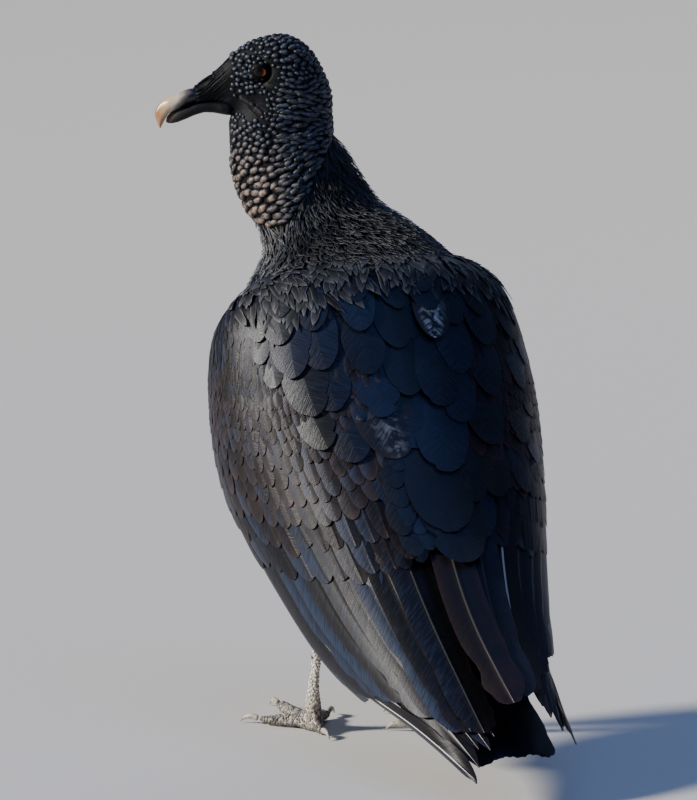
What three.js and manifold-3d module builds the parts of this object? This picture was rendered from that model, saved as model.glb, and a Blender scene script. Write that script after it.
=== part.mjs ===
// Black vulture, life size, standing and looking back over its left shoulder.
// Millimetres, +Z up. The bird faces -Y, so its left side is +X. The soles stand on Z = 0.
// Every piece is a closed solid: a sweep of oval rings along a curve, or a plate that
// follows a curved surface. Neighbours are cut apart with a gap of GAP.
import * as THREE from "three";
import { mergeVertices } from "three/addons/utils/BufferGeometryUtils.js";
import Module from "manifold-3d";

const wasm = await Module();
wasm.setup();

// ---------- driving dimensions ----------
const GAP = 0.3; // clear space between neighbouring pieces
const STANCE_HALF = 44; // sideways distance of each foot from the midline
const LEFT_FOOT_FORWARD = 18; // the left foot stands ahead of the right one
const RIGHT_FOOT_FORWARD = -34;
const TARSUS_LENGTH = 82;
const HEAD_TURN = THREE.MathUtils.degToRad(66); // the bill points this far left of straight ahead
const HEAD_CENTRE = place(84, 35, 448); // middle of the skull
const EYE_RADIUS = 7.2;

// A point given as the bird would say it: forward, to its left, and up.
function place(forward, left, up) {
  return new THREE.Vector3(left, -forward, up);
}

// ---------- curves through a few named values ----------

// A smooth function through [position, value] pairs, flat beyond the first and the last.
function profile(...keys) {
  const slope = keys.map(([x, y], i) => {
    const before = keys[Math.max(0, i - 1)];
    const after = keys[Math.min(keys.length - 1, i + 1)];
    return (after[1] - before[1]) / (after[0] - before[0]);
  });
  return (x) => {
    if (x <= keys[0][0]) return keys[0][1];
    if (x >= keys.at(-1)[0]) return keys.at(-1)[1];
    const i = keys.findIndex(([k]) => k > x) - 1;
    const span = keys[i + 1][0] - keys[i][0];
    const s = (x - keys[i][0]) / span;
    const s2 = s * s;
    const s3 = s2 * s;
    return (
      (2 * s3 - 3 * s2 + 1) * keys[i][1] +
      (s3 - 2 * s2 + s) * span * slope[i] +
      (3 * s2 - 2 * s3) * keys[i + 1][1] +
      (s3 - s2) * span * slope[i + 1]
    );
  };
}

// A share from 0 to 1 that rounds a sweep's two ends like a dome. first and last are the domes' lengths.
function rounded(t, first, last) {
  const near = Math.max(0, 1 - t / first);
  const far = Math.max(0, 1 - (1 - t) / last);
  return Math.sqrt(1 - near * near) * Math.sqrt(1 - far * far);
}

// ---------- solids ----------

// A closed body from a grid of rings: the first and the last ring each close on a middle point.
function closeRings(rings, firstPoint, lastPoint) {
  const sides = rings[0].length;
  const points = [firstPoint, ...rings.flat(), lastPoint];
  const index = [];
  const at = (ring, side) => 1 + ring * sides + (side % sides);
  for (let side = 0; side < sides; side++) {
    index.push(0, at(0, side + 1), at(0, side));
    for (let ring = 0; ring + 1 < rings.length; ring++) {
      index.push(at(ring, side), at(ring, side + 1), at(ring + 1, side + 1));
      index.push(at(ring, side), at(ring + 1, side + 1), at(ring + 1, side));
    }
    index.push(points.length - 1, at(rings.length - 1, side), at(rings.length - 1, side + 1));
  }
  return solidFrom(points, index);
}

function solidFrom(points, index) {
  const shape = new THREE.BufferGeometry().setFromPoints(points);
  shape.setIndex(index);
  return solidOf(shape);
}

// A closed solid from a shape's triangles, turned outwards if they face in.
function solidOf(shape) {
  const bare = new THREE.BufferGeometry();
  bare.setAttribute("position", shape.getAttribute("position"));
  bare.setIndex(shape.getIndex());
  const merged = mergeVertices(bare, 1e-4);
  const mesh = new wasm.Mesh({
    numProp: 3,
    vertProperties: merged.attributes.position.array,
    triVerts: new Uint32Array(merged.index.array),
  });
  const solid = new wasm.Manifold(mesh);
  if (solid.volume() > 0) return solid;
  bare.setIndex(Array.from(shape.getIndex().array).reverse());
  return solidOf(bare);
}

// Sweeps an oval along path. side(t) is the section's sideways direction. The half widths are
// wide(t) sideways, up(t) and down(t) across. ends gives the domed share at each end, grow swells
// the body by a gap, and square raises the oval's power towards a box.
function sweep({ path, side, wide, up, down = up, ends, rings, sides, grow = 0, square = 1 }) {
  const curve = new THREE.CatmullRomCurve3(path, false, "centripetal");
  const made = [];
  for (let i = 1; i < rings; i++) {
    const t = 0.5 - 0.5 * Math.cos((Math.PI * i) / rings);
    const centre = curve.getPointAt(t);
    const along = curve.getTangentAt(t);
    const across = new THREE.Vector3().crossVectors(along, side(t)).normalize();
    const sideways = new THREE.Vector3().crossVectors(across, along).normalize();
    const dome = rounded(t, ...ends);
    made.push(
      Array.from({ length: sides }, (_, k) => {
        const angle = (2 * Math.PI * k) / sides;
        const c = Math.sign(Math.cos(angle)) * Math.abs(Math.cos(angle)) ** square;
        const s = Math.sign(Math.sin(angle)) * Math.abs(Math.sin(angle)) ** square;
        const height = (s > 0 ? up(t) : down(t)) * dome + grow;
        return centre
          .clone()
          .addScaledVector(sideways, c * (wide(t) * dome + grow))
          .addScaledVector(across, s * height);
      }),
    );
  }
  const first = curve.getPointAt(0).addScaledVector(curve.getTangentAt(0), -grow);
  const last = curve.getPointAt(1).addScaledVector(curve.getTangentAt(1), grow);
  return closeRings(made, first, last);
}

// Stacks oval rings that all face along one straight line. At x along the line, a ring reaches from
// bottom(x) to top(x) in the direction up, and wide(x) to each side of offset(x) in the direction side.
function loft({ origin, along, up, side, from, to, top, bottom, wide, offset, rings, sides, grow = 0 }) {
  const at = (x, height, sideways) => {
    const point = origin.clone().addScaledVector(along, x);
    return point.addScaledVector(up, height).addScaledVector(side, sideways);
  };
  const middle = (x) => (top(x) + bottom(x)) / 2;
  const made = [];
  for (let i = 1; i < rings; i++) {
    const x = from + (to - from) * (0.5 - 0.5 * Math.cos((Math.PI * i) / rings));
    const tall = (top(x) - bottom(x)) / 2 + grow;
    made.push(
      Array.from({ length: sides }, (_, k) => {
        const angle = (2 * Math.PI * k) / sides;
        const sideways = offset(x) + (wide(x) + grow) * Math.cos(angle);
        return at(x, middle(x) + tall * Math.sin(angle), sideways);
      }),
    );
  }
  const first = at(from - grow, middle(from), offset(from));
  const last = at(to + grow, middle(to), offset(to));
  return closeRings(made, first, last);
}

// A plate whose outer face is face(u, v) and whose thickness is thick(u, v), with u and v from 0 to 1.
function plate({ face, thick, rows, columns, grow = 0, lift = 0 }) {
  const outer = [];
  const inner = [];
  const step = 1e-3;
  for (let i = 0; i <= rows; i++) {
    for (let j = 0; j <= columns; j++) {
      const [u, v] = [i / rows, j / columns];
      const here = face(u, v);
      const du = face(Math.min(1, u + step), v).sub(face(Math.max(0, u - step), v));
      const dv = face(u, Math.min(1, v + step)).sub(face(u, Math.max(0, v - step)));
      const out = new THREE.Vector3().crossVectors(du, dv).normalize();
      const edge = { 0: -grow, 1: grow };
      here.addScaledVector(du.clone().normalize(), edge[u] ?? 0);
      here.addScaledVector(dv.clone().normalize(), edge[v] ?? 0);
      outer.push(here.clone().addScaledVector(out, grow + lift));
      inner.push(here.clone().addScaledVector(out, lift - thick(u, v) - grow));
    }
  }
  const width = columns + 1;
  const under = outer.length;
  const index = [];
  for (let i = 0; i < rows; i++) {
    for (let j = 0; j < columns; j++) {
      const a = i * width + j;
      const b = a + width;
      const c = b + 1;
      const d = a + 1;
      index.push(a, b, c, a, c, d);
      index.push(a + under, c + under, b + under, a + under, d + under, c + under);
    }
  }
  const rim = [];
  for (let j = 0; j < columns; j++) rim.push(j);
  for (let i = 0; i < rows; i++) rim.push(i * width + columns);
  for (let j = columns; j > 0; j--) rim.push(rows * width + j);
  for (let i = rows; i > 0; i--) rim.push(i * width);
  rim.forEach((a, k) => {
    const b = rim[(k + 1) % rim.length];
    index.push(a, b, b + under, a, b + under, a + under);
  });
  return solidFrom([...outer, ...inner], index);
}

// The largest piece of a solid, because a cut can leave a crumb behind.
function largest(solid) {
  return solid.decompose().sort((a, b) => b.volume() - a.volume())[0];
}

function without(solid, ...cutters) {
  return largest(cutters.reduce((rest, cutter) => rest.subtract(cutter), solid));
}

// Everything above the floor, which flattens what would reach below it.
const aboveFloor = solidOf(new THREE.BoxGeometry(1000, 1000, 800).translate(0, 0, 400));

// ---------- colours ----------
const FINISH = {
  bareSkin: { color: 0x2b2b2e, roughness: 0.75, metalness: 0 },
  horn: { color: 0xb9ad98, roughness: 0.4, metalness: 0 },
  darkHorn: { color: 0x3a3632, roughness: 0.5, metalness: 0 },
  eye: { color: 0x1a0f0a, roughness: 0.1, metalness: 0 },
  plumage: { color: 0x16181c, roughness: 0.55, metalness: 0 },
  wing: { color: 0x25272b, roughness: 0.5, metalness: 0 },
  scaledLeg: { color: 0x9a958c, roughness: 0.7, metalness: 0 },
  claw: { color: 0x4a4640, roughness: 0.4, metalness: 0 },
};

const bird = new THREE.Group();

function addPart(name, solid, finish) {
  const { vertProperties, triVerts } = solid.getMesh();
  const geometry = new THREE.BufferGeometry();
  geometry.setAttribute("position", new THREE.BufferAttribute(new Float32Array(vertProperties), 3));
  geometry.setIndex(new THREE.BufferAttribute(new Uint32Array(triVerts), 1));
  geometry.computeVertexNormals();
  const part = new THREE.Mesh(geometry, new THREE.MeshStandardMaterial(FINISH[finish]));
  part.name = name;
  bird.add(part);
}

// ---------- trunk ----------
const LEFTWARD = new THREE.Vector3(1, 0, 0);
const rightward = () => new THREE.Vector3(-1, 0, 0);

function trunkBody(grow = 0) {
  return sweep({
    path: [
      place(66, 0, 370),
      place(54, 0, 320),
      place(32, 0, 260),
      place(-6, 0, 205),
      place(-56, 0, 162),
      place(-110, 0, 128),
      place(-138, 0, 112),
    ],
    side: rightward,
    wide: profile(
      [0, 58], [0.08, 64], [0.15, 75], [0.24, 83], [0.36, 84], [0.5, 76], [0.68, 58], [0.85, 38], [1, 28],
    ),
    up: profile(
      [0, 56], [0.08, 74], [0.18, 89], [0.3, 94], [0.4, 93], [0.52, 84], [0.64, 73], [0.8, 50], [0.9, 34],
      [1, 20],
    ),
    down: profile([0, 48], [0.1, 60], [0.2, 72], [0.35, 76], [0.5, 72], [0.7, 56], [0.9, 30], [1, 20]),
    ends: [0.2, 0.14],
    rings: 15,
    sides: 20,
    square: 0.9,
    grow,
  });
}

// ---------- head ----------
const BILLWARD = place(Math.cos(HEAD_TURN), Math.sin(HEAD_TURN), 0);
const UP = new THREE.Vector3(0, 0, 1);
const HEAD_SIDE = new THREE.Vector3().crossVectors(UP, BILLWARD); // towards the head's own left

// A point of the head: so far towards the bill, up, and to the head's own left, from its centre.
function onHead(billward, up, left = 0) {
  return HEAD_CENTRE.clone()
    .addScaledVector(BILLWARD, billward)
    .addScaledVector(UP, up)
    .addScaledVector(HEAD_SIDE, left);
}

// A loft along the bill's direction, its outline given in the head's own frame.
function headLoft(shape) {
  const offset = () => 0;
  return loft({ origin: HEAD_CENTRE, along: BILLWARD, up: UP, side: HEAD_SIDE, offset, ...shape });
}

// The skull with its cere: a high round crown that slopes straight down into the long bill.
function skull(grow = 0) {
  return headLoft({
    from: -33.5,
    to: 68,
    top: profile(
      [-33.5, -13], [-32.4, -7], [-28.7, 6], [-23, 18], [-14, 28.6], [-3.5, 34.3], [7, 35.8],
      [24.5, 31], [35, 24], [42, 17.9], [49, 10.2], [60, 1.4], [67, -2.8], [68, -8],
    ),
    bottom: profile(
      [-33.5, -13], [-32.4, -19], [-28.7, -29], [-20, -35], [0, -36], [22, -31], [34, -26], [44, -13.4],
      [60, -13.8], [67, -15], [68, -10],
    ),
    wide: profile(
      [-33.5, 1], [-32.4, 6], [-28.7, 12.5], [-22, 18.5], [-8, 23], [5, 22.5], [18, 18.5], [34, 13],
      [46, 9], [60, 7.6], [67, 6.8], [68, 2],
    ),
    rings: 17,
    sides: 16,
    grow,
  });
}

// The horn-coloured hook of the upper bill, whose tip turns down and back.
function upperBill(grow = 0) {
  return headLoft({
    from: 62,
    to: 91,
    top: profile(
      [62, -6], [63, -2.6], [66, -2.6], [73, -6.2], [80, -8.8], [85, -11.4], [88.5, -15], [91, -20.5],
    ),
    bottom: profile(
      [62, -8], [63, -13.2], [70, -16.8], [78, -19.4], [82.5, -22.6], [84.6, -27], [86.6, -33.4],
      [88.4, -30.5], [89.8, -26.5], [91, -22.5],
    ),
    wide: profile([62, 1], [63, 6.5], [70, 6.8], [80, 5.6], [86, 3.8], [90, 2.4], [91, 1]),
    rings: 13,
    sides: 12,
    grow,
  });
}

function lowerBill(grow = 0) {
  return headLoft({
    from: 36,
    to: 83.5,
    top: profile([36, -16], [38, -14.2], [60, -14.9], [70, -18], [78, -21.2], [83.5, -26]),
    bottom: profile([36, -17], [38, -22], [48, -20.6], [58, -20.4], [68, -24.6], [78, -28.4], [83.5, -28]),
    wide: profile([36, 2], [38, 9.5], [50, 7.8], [66, 6.4], [77, 4.4], [83.5, 0.8]),
    rings: 11,
    sides: 10,
    grow,
  });
}

function eyeball(side, grow = 0) {
  const ball = new THREE.SphereGeometry(EYE_RADIUS + grow, 12, 8);
  return solidOf(ball.translate(...onHead(17.5, 11.4, side * 12.2)));
}

// ---------- neck ----------
// The neck rises from between the shoulders and bows towards the throat. Heights are from the head's
// centre, and front and back are measured along the bill's direction.
function neckBody(grow = 0) {
  return loft({
    origin: HEAD_CENTRE,
    along: UP,
    up: BILLWARD,
    side: HEAD_SIDE,
    from: -160,
    to: 6,
    top: profile(
      [-160, -20], [-152, 6], [-121, 14], [-109, 19], [-96, 23.5], [-84, 29.5], [-74, 35], [-60, 38.6],
      [-32, 40], [-21, 41], [-12, 32], [0, 14], [6, 0],
    ),
    bottom: profile(
      [-160, -60], [-152, -78], [-125, -85], [-107, -83], [-91, -75], [-73, -62], [-59, -53.5], [-45, -45],
      [-35, -37], [-26, -33], [0, -24], [6, -10],
    ),
    wide: profile(
      [-160, 20], [-150, 58], [-130, 58], [-110, 50], [-90, 41], [-75, 36], [-60, 32], [-45, 28.5],
      [-20, 25], [0, 14], [6, 4],
    ),
    offset: profile([-148, 17], [-95, 11], [-73, 7], [-45, 3], [0, 0]),
    rings: 13,
    sides: 16,
    grow,
  });
}

// ---------- wings ----------
// A folded wing wraps the flank as part of an oval shell round the line from shoulder to tail.
const WING_START = place(50, 0, 292);
const WING_END = place(-250, 0, 40);
const WING_ALONG = WING_END.clone().sub(WING_START).normalize();
const WING_DORSAL = new THREE.Vector3().crossVectors(WING_ALONG, LEFTWARD).normalize();
if (WING_DORSAL.z < 0) WING_DORSAL.negate();

// How far below the shoulder line the wing's lower edge lies, and where its section would
// crest above that line, by distance along it.
const WING_NOSE = -14; // the bend of the wing stands this far ahead of the line's start
const NOSE_LENGTH = 30; // and over this length it draws in by the share NOSE_PINCH
const NOSE_PINCH = 0.16;
const wingLow = profile(
  [-14, -10], [0, -27], [15, -43], [51, -71], [88, -92], [123, -99], [173, -100], [232, -94], [275, -80],
  [340, -46], [410, -9],
);
const wingCrest = profile(
  [-14, 40], [10, 72], [30, 84], [50, 83], [90, 71], [120, 60], [187, 39], [246, 23], [311, 12], [400, 4],
);
const LOW_ANGLE = THREE.MathUtils.degToRad(-34);

// The upper edge's angle round the section: it climbs from the shoulder to the middle of the back.
const highDegrees = profile([-14, 24], [10, 44], [50, 58], [90, 66], [130, 72], [200, 78], [260, 82]);

const WING_SIDES = {
  left: {
    sign: 1,
    out: profile(
      [-14, 90], [15, 110], [51, 117], [88, 117], [123, 112], [173, 102], [232, 90], [275, 79], [340, 62],
      [410, 48],
    ),
    rise: () => 0,
    inward: () => 0,
  },
  right: {
    sign: -1,
    out: profile(
      [-14, 88], [15, 107], [51, 115], [88, 117], [140, 110], [200, 94], [275, 67], [340, 41], [410, 20],
    ),
    rise: profile([150, 0], [410, 34]),
    inward: profile([100, 0], [220, 8], [300, 10], [410, 6]),
  },
};

// The wing's outer face at a distance along the shoulder line, with v from its lower to its upper edge.
function wingPoint(side, along, v) {
  const { sign, out, rise, inward } = WING_SIDES[side];
  const low = wingLow(along);
  const half = (wingCrest(along) - low) / (1 - Math.sin(LOW_ANGLE));
  const middle = low - half * Math.sin(LOW_ANGLE);
  const angle = THREE.MathUtils.lerp(LOW_ANGLE, THREE.MathUtils.degToRad(highDegrees(along)), v);
  const blunt = 1 - THREE.MathUtils.clamp((along - WING_NOSE) / NOSE_LENGTH, 0, 1);
  const nose = 1 - NOSE_PINCH + NOSE_PINCH * Math.sqrt(1 - blunt * blunt);
  const outwards = out(along) * Math.cos(angle) * nose - inward(along) * v;
  return WING_START.clone()
    .addScaledVector(WING_ALONG, along)
    .addScaledVector(WING_DORSAL, middle + half * Math.sin(angle) + rise(along))
    .addScaledVector(LEFTWARD, sign * outwards);
}

// Secondaries end in a slanting, scalloped edge; each scallop is one feather's round tip.
const SECONDARY_TIPS = 9;
const SECONDARY_SCALLOP = 6;
const secondaryEnd = profile([0, 286], [0.25, 322], [0.5, 360], [0.8, 388], [1, 386]);

function wingPlate(side, grow = 0) {
  const sign = WING_SIDES[side].sign;
  const face = (u, w) => {
    const v = sign > 0 ? w : 1 - w;
    const end = secondaryEnd(v) - SECONDARY_SCALLOP * Math.abs(Math.cos(Math.PI * SECONDARY_TIPS * v));
    return wingPoint(side, THREE.MathUtils.lerp(WING_NOSE, end, u), v);
  };
  return plate({
    face,
    thick: (u) => THREE.MathUtils.lerp(14, 5, u),
    rows: 10,
    columns: 2 * SECONDARY_TIPS,
    grow,
  });
}

// The long primaries lie under the secondaries as one stack, and their tips show beyond them.
const PRIMARY_ROOT = 190;
const PRIMARY_TIPS = 5;
const primaryEnd = profile([0, 412], [0.2, 421], [0.45, 414], [0.75, 402], [1, 390]);
const PRIMARY_SCALLOP = 12;
const UNDER_WING = 9; // depth of the primaries below the wing's outer face

function primaryPlate(side, grow = 0) {
  const sign = WING_SIDES[side].sign;
  const face = (u, w) => {
    const across = sign > 0 ? w : 1 - w;
    const scallop = PRIMARY_SCALLOP * Math.abs(Math.cos(Math.PI * PRIMARY_TIPS * across)) ** 1.5;
    const along = THREE.MathUtils.lerp(PRIMARY_ROOT, primaryEnd(across) - scallop, u);
    return wingPoint(side, along, THREE.MathUtils.lerp(0.02, 0.62, across));
  };
  return plate({
    face,
    thick: (u) => THREE.MathUtils.lerp(4, 2, u),
    rows: 5,
    columns: 3 * PRIMARY_TIPS,
    lift: -UNDER_WING,
    grow,
  });
}

// ---------- tail ----------
const TAIL_TIPS = 6;
const TAIL_SCALLOP = 5;
const TAIL_CROWN = 5; // the plate arches this high along its middle
const TAIL_SAG = 9; // and sinks this far below that along its sides

function tailPlate(grow = 0) {
  const root = place(-96, 0, 132);
  const tip = place(-243, 2, 31);
  const along = tip.clone().sub(root);
  const rise = new THREE.Vector3().crossVectors(along, LEFTWARD).normalize();
  if (rise.z < 0) rise.negate();
  const face = (u, v) => {
    const scallop = TAIL_SCALLOP * Math.abs(Math.cos(Math.PI * TAIL_TIPS * v));
    const reach = u * (1 - scallop / along.length());
    const half = THREE.MathUtils.lerp(24, 35, u);
    const side = 2 * v - 1;
    return root
      .clone()
      .addScaledVector(along, reach)
      .addScaledVector(LEFTWARD, half * side)
      .addScaledVector(rise, TAIL_CROWN - TAIL_SAG * side * side);
  };
  return plate({ face, thick: () => 7, rows: 6, columns: 2 * TAIL_TIPS, grow });
}

// ---------- legs ----------
const FEET = {
  left: { sign: 1, forward: LEFT_FOOT_FORWARD, turn: 0 },
  right: { sign: -1, forward: RIGHT_FOOT_FORWARD, turn: -14 },
};
const PAD_UP = 9; // height of the joint where the toes meet

function footPoint(side, forward, left, up) {
  const { sign, forward: ahead, turn } = FEET[side];
  const angle = THREE.MathUtils.degToRad(turn);
  const f = forward * Math.cos(angle) - left * Math.sin(angle);
  const l = forward * Math.sin(angle) + left * Math.cos(angle);
  return place(ahead + f, sign * (STANCE_HALF + l), up);
}

const anklePoint = (side) => footPoint(side, -14, 0, TARSUS_LENGTH + PAD_UP);

function thigh(side) {
  const { sign, forward } = FEET[side];
  return sweep({
    path: [
      place(forward * 0.4 + 6, sign * 42, 196),
      place(forward * 0.6 + 8, sign * 46, 158),
      place(forward * 0.8 + 4, sign * 46, 122),
      anklePoint(side).add(place(3, 0, 2)),
    ],
    side: rightward,
    wide: profile([0, 26], [0.35, 24], [0.7, 15], [1, 8]),
    up: profile([0, 38], [0.35, 33], [0.7, 19], [1, 9]),
    ends: [0.2, 0.06],
    rings: 8,
    sides: 12,
  });
}

function tarsus(side, grow = 0) {
  const shank = sweep({
    path: [
      anklePoint(side).add(place(-1, 0, 8)),
      anklePoint(side).add(place(0, 0, -10)),
      footPoint(side, -6, 0, 46),
      footPoint(side, -2, 0, 22),
      footPoint(side, 1, 0, -4),
    ],
    side: rightward,
    wide: profile([0, 6.4], [0.14, 6.2], [0.3, 4.6], [0.7, 4.8], [0.87, 8], [1, 8.8]),
    up: profile([0, 7], [0.14, 7], [0.3, 5.4], [0.7, 5.6], [0.87, 8.6], [1, 9.4]),
    ends: [0.08, 0.06],
    rings: 11,
    sides: 10,
    grow,
  });
  return shank.intersect(aboveFloor);
}

// Each toe's angle from straight ahead (outwards positive), length to the claw's root, half thickness,
// number of pads, and claw length.
const TOES = {
  middle: { angle: -2, length: 66, thick: 5.4, pads: 3, claw: 16 },
  inner: { angle: -42, length: 38, thick: 5.2, pads: 2, claw: 14 },
  outer: { angle: 42, length: 44, thick: 4.8, pads: 4, claw: 12 },
  hind: { angle: 176, length: 24, thick: 4.6, pads: 1, claw: 13 },
};

// A point over the line of a toe: so far out from the foot's middle, and so far up.
function onToe(side, name, reach, up) {
  const turn = THREE.MathUtils.degToRad(TOES[name].angle);
  return footPoint(side, reach * Math.cos(turn), reach * Math.sin(turn), up);
}

// The level direction across a toe.
function acrossToe(side, name) {
  const along = onToe(side, name, 1, 0).sub(onToe(side, name, 0, 0));
  return () => new THREE.Vector3().crossVectors(UP, along).normalize();
}

function toe(side, name, grow = 0) {
  const { length, thick, pads } = TOES[name];
  const rootUp = PAD_UP - 3;
  const tipUp = thick * 0.82;
  const swell = (t) => 1 + 0.1 * Math.cos(2 * Math.PI * pads * (t - 0.5 / pads));
  const body = sweep({
    path: [onToe(side, name, 3, rootUp), onToe(side, name, length, tipUp)],
    side: acrossToe(side, name),
    wide: (t) => thick * swell(t) * THREE.MathUtils.lerp(1.12, 0.84, t),
    up: (t) => thick * swell(t) * THREE.MathUtils.lerp(1.1, 0.8, t),
    ends: [0.06, 0.12],
    rings: 7,
    sides: 8,
    grow,
  });
  return body.intersect(aboveFloor);
}

function claw(side, name, grow = 0) {
  const { length, thick, claw: reach } = TOES[name];
  const half = thick * 0.52;
  return sweep({
    path: [
      onToe(side, name, length - 3, thick * 0.95),
      onToe(side, name, length + reach * 0.3, thick * 1.15),
      onToe(side, name, length + reach * 0.7, thick * 0.82),
      onToe(side, name, length + reach * 0.95, 0.4),
    ],
    side: acrossToe(side, name),
    wide: profile([0, half * 0.8], [0.5, half * 0.6], [1, 0.25]),
    up: profile([0, half], [0.5, half * 0.72], [1, 0.3]),
    ends: [0.08, 0.04],
    rings: 7,
    sides: 6,
    grow,
  }).intersect(aboveFloor);
}

// ---------- assembly: each piece gives way to the ones that lie over it ----------
const trunkGrown = trunkBody(GAP);
addPart("trunk", trunkBody(), "plumage");

const eyes = { left: 1, right: -1 };
const skullCuts = [upperBill(GAP), lowerBill(GAP), eyeball(1, GAP), eyeball(-1, GAP)];
addPart("head", without(skull(), ...skullCuts), "bareSkin");
addPart("upper_bill", upperBill(), "horn");
addPart("lower_bill", without(lowerBill(), upperBill(GAP)), "darkHorn");
for (const [name, side] of Object.entries(eyes)) addPart(`${name}_eye`, eyeball(side), "eye");
addPart("neck", without(neckBody(), skull(GAP), lowerBill(GAP), trunkGrown), "bareSkin");

const neckGrown = neckBody(GAP);
const wingsGrown = [];
for (const side of ["left", "right"]) {
  addPart(`${side}_wing`, without(wingPlate(side), trunkGrown, neckGrown, ...wingsGrown), "wing");
  wingsGrown.push(wingPlate(side, GAP));
}
const primariesGrown = [];
for (const side of ["left", "right"]) {
  const over = [trunkGrown, ...wingsGrown, ...primariesGrown];
  addPart(`${side}_primaries`, without(primaryPlate(side), ...over), "wing");
  primariesGrown.push(primaryPlate(side, GAP));
}
const tailCuts = [trunkGrown, ...wingsGrown, ...primariesGrown];
addPart("tail", without(tailPlate(), ...tailCuts), "plumage");

for (const side of ["left", "right"]) {
  const foot = [tarsus(side, GAP)];
  addPart(`${side}_thigh`, without(thigh(side), trunkGrown, ...foot, ...wingsGrown), "plumage");
  addPart(`${side}_tarsus`, tarsus(side), "scaledLeg");
  for (const name of Object.keys(TOES)) {
    const clawGrown = claw(side, name, GAP);
    addPart(`${side}_${name}_toe`, without(toe(side, name), clawGrown, ...foot), "scaledLeg");
    addPart(`${side}_${name}_claw`, claw(side, name), "claw");
    foot.push(toe(side, name, GAP));
  }
}

// The origin is the middle of the standing area, under the middle of the whole bird's box.
const middle = new THREE.Box3().setFromObject(bird).getCenter(new THREE.Vector3());
for (const part of bird.children) part.position.set(-middle.x, -middle.y, 0);

export default bird;
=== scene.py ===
# %% [markdown]
# # A black vulture, life size
#
# A black vulture (*Coragyps atratus*) is a good lesson in plumage: it has almost no colour, so
# what the eye reads is form. There are broad rounded vanes on the back, long stiff ones on the
# wing, hair-like ones round the neck, and a bare head covered in wrinkles and nodules.
#
# The CAD frame holds the true outline. This script dresses it: one skin with no seams, then
# every feather tract as thin closed vanes that lie over the frame's surface.

# %% Load the frame
import math

import bmesh
import bpy
import numpy as np
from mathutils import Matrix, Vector
from mathutils.bvhtree import BVHTree


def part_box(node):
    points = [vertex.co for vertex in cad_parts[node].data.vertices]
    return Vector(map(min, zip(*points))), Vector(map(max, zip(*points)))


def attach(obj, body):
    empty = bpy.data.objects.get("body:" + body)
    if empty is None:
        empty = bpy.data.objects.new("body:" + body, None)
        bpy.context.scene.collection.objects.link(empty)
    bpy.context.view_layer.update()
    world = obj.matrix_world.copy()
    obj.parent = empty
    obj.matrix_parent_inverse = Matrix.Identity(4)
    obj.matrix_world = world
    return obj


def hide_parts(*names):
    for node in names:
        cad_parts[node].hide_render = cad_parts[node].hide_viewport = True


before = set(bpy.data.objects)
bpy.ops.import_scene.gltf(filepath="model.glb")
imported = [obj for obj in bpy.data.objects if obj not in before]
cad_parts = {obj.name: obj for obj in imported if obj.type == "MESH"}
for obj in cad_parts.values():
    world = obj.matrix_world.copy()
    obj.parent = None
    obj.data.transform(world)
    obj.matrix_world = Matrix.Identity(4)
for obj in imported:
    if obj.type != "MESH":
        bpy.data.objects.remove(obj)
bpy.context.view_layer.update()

# %% [markdown]
# ## The bird's own directions
#
# Blender works in metres along X, Y and Z, but a bird is easier to describe in its own words:
# forward, left and up, in millimetres. The middle between the two eyes ties the two together,
# because the frame says exactly where the eyes are.

# %% Say a place as the bird would
MM = 0.001
UP = np.array([0.0, 0.0, 1.0])
LEFTWARD = np.array([1.0, 0.0, 0.0])
EYES_AT = (91.1, 51.0, 459.4)  # forward, left and up of the middle between the eyes


def unit(vector):
    return vector / np.linalg.norm(vector, axis=-1, keepdims=True)


def box(node):
    low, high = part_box(node)
    return np.array(low), np.array(high)


left_eye_centre = sum(box("left_eye")) / 2
right_eye_centre = sum(box("right_eye")) / 2
between_eyes = (left_eye_centre + right_eye_centre) / 2
MIDLINE_X = between_eyes[0] - EYES_AT[1] * MM
ZERO_Y = between_eyes[1] + EYES_AT[0] * MM


def place(forward, left, up):
    """A point of the frame, in metres, from the bird's own directions in millimetres."""
    return np.array([MIDLINE_X + left * MM, ZERO_Y - forward * MM, up * MM])


def profile(*keys):
    """A smooth function through (position, value) pairs, flat beyond the first and the last."""
    x, y = np.array(keys, float).T
    before = np.maximum(np.arange(len(x)) - 1, 0)
    after = np.minimum(np.arange(len(x)) + 1, len(x) - 1)
    slope = (y[after] - y[before]) / (x[after] - x[before])

    def value(at):
        at = np.clip(np.asarray(at, float), x[0], x[-1])
        i = np.clip(np.searchsorted(x, at, side="right") - 1, 0, len(x) - 2)
        span = x[i + 1] - x[i]
        s = (at - x[i]) / span
        rising = (s**3 - 2 * s**2 + s) * span * slope[i] + (s**3 - s**2) * span * slope[i + 1]
        return (2 * s**3 - 3 * s**2 + 1) * y[i] + (3 * s**2 - 2 * s**3) * y[i + 1] + rising

    return value


def smoothstep(low, high, value):
    s = np.clip((value - low) / (high - low), 0, 1)
    return s * s * (3 - 2 * s)


print("eyes meet at", np.round(between_eyes, 4), "metres")

# %% [markdown]
# ## The camera
#
# The camera comes first, so that each piece can be looked at as soon as it is made. It stands
# behind the bird's left side, a little above it. A very long lens flattens perspective, as a
# telescope does. It is aimed by saying where in the image the left sole lies.

# %% Set up the camera
IMAGE_WIDTH, IMAGE_HEIGHT = 697, 800
PIXELS_PER_METRE = 1430
SOLE_PIXEL = (312, 730)
VIEW_AZIMUTH, VIEW_ELEVATION = math.radians(156), math.radians(12)
CAMERA_DISTANCE = 10.0
SENSOR_WIDTH = 36.0  # millimetres along the image's longer side
LEFT_SOLE = (18, 44, 0)  # forward, left and up


def add_object(name, data):
    """A new object at the origin, linked into the scene."""
    made = bpy.data.objects.new(name, data)
    bpy.context.scene.collection.objects.link(made)
    return made


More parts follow.
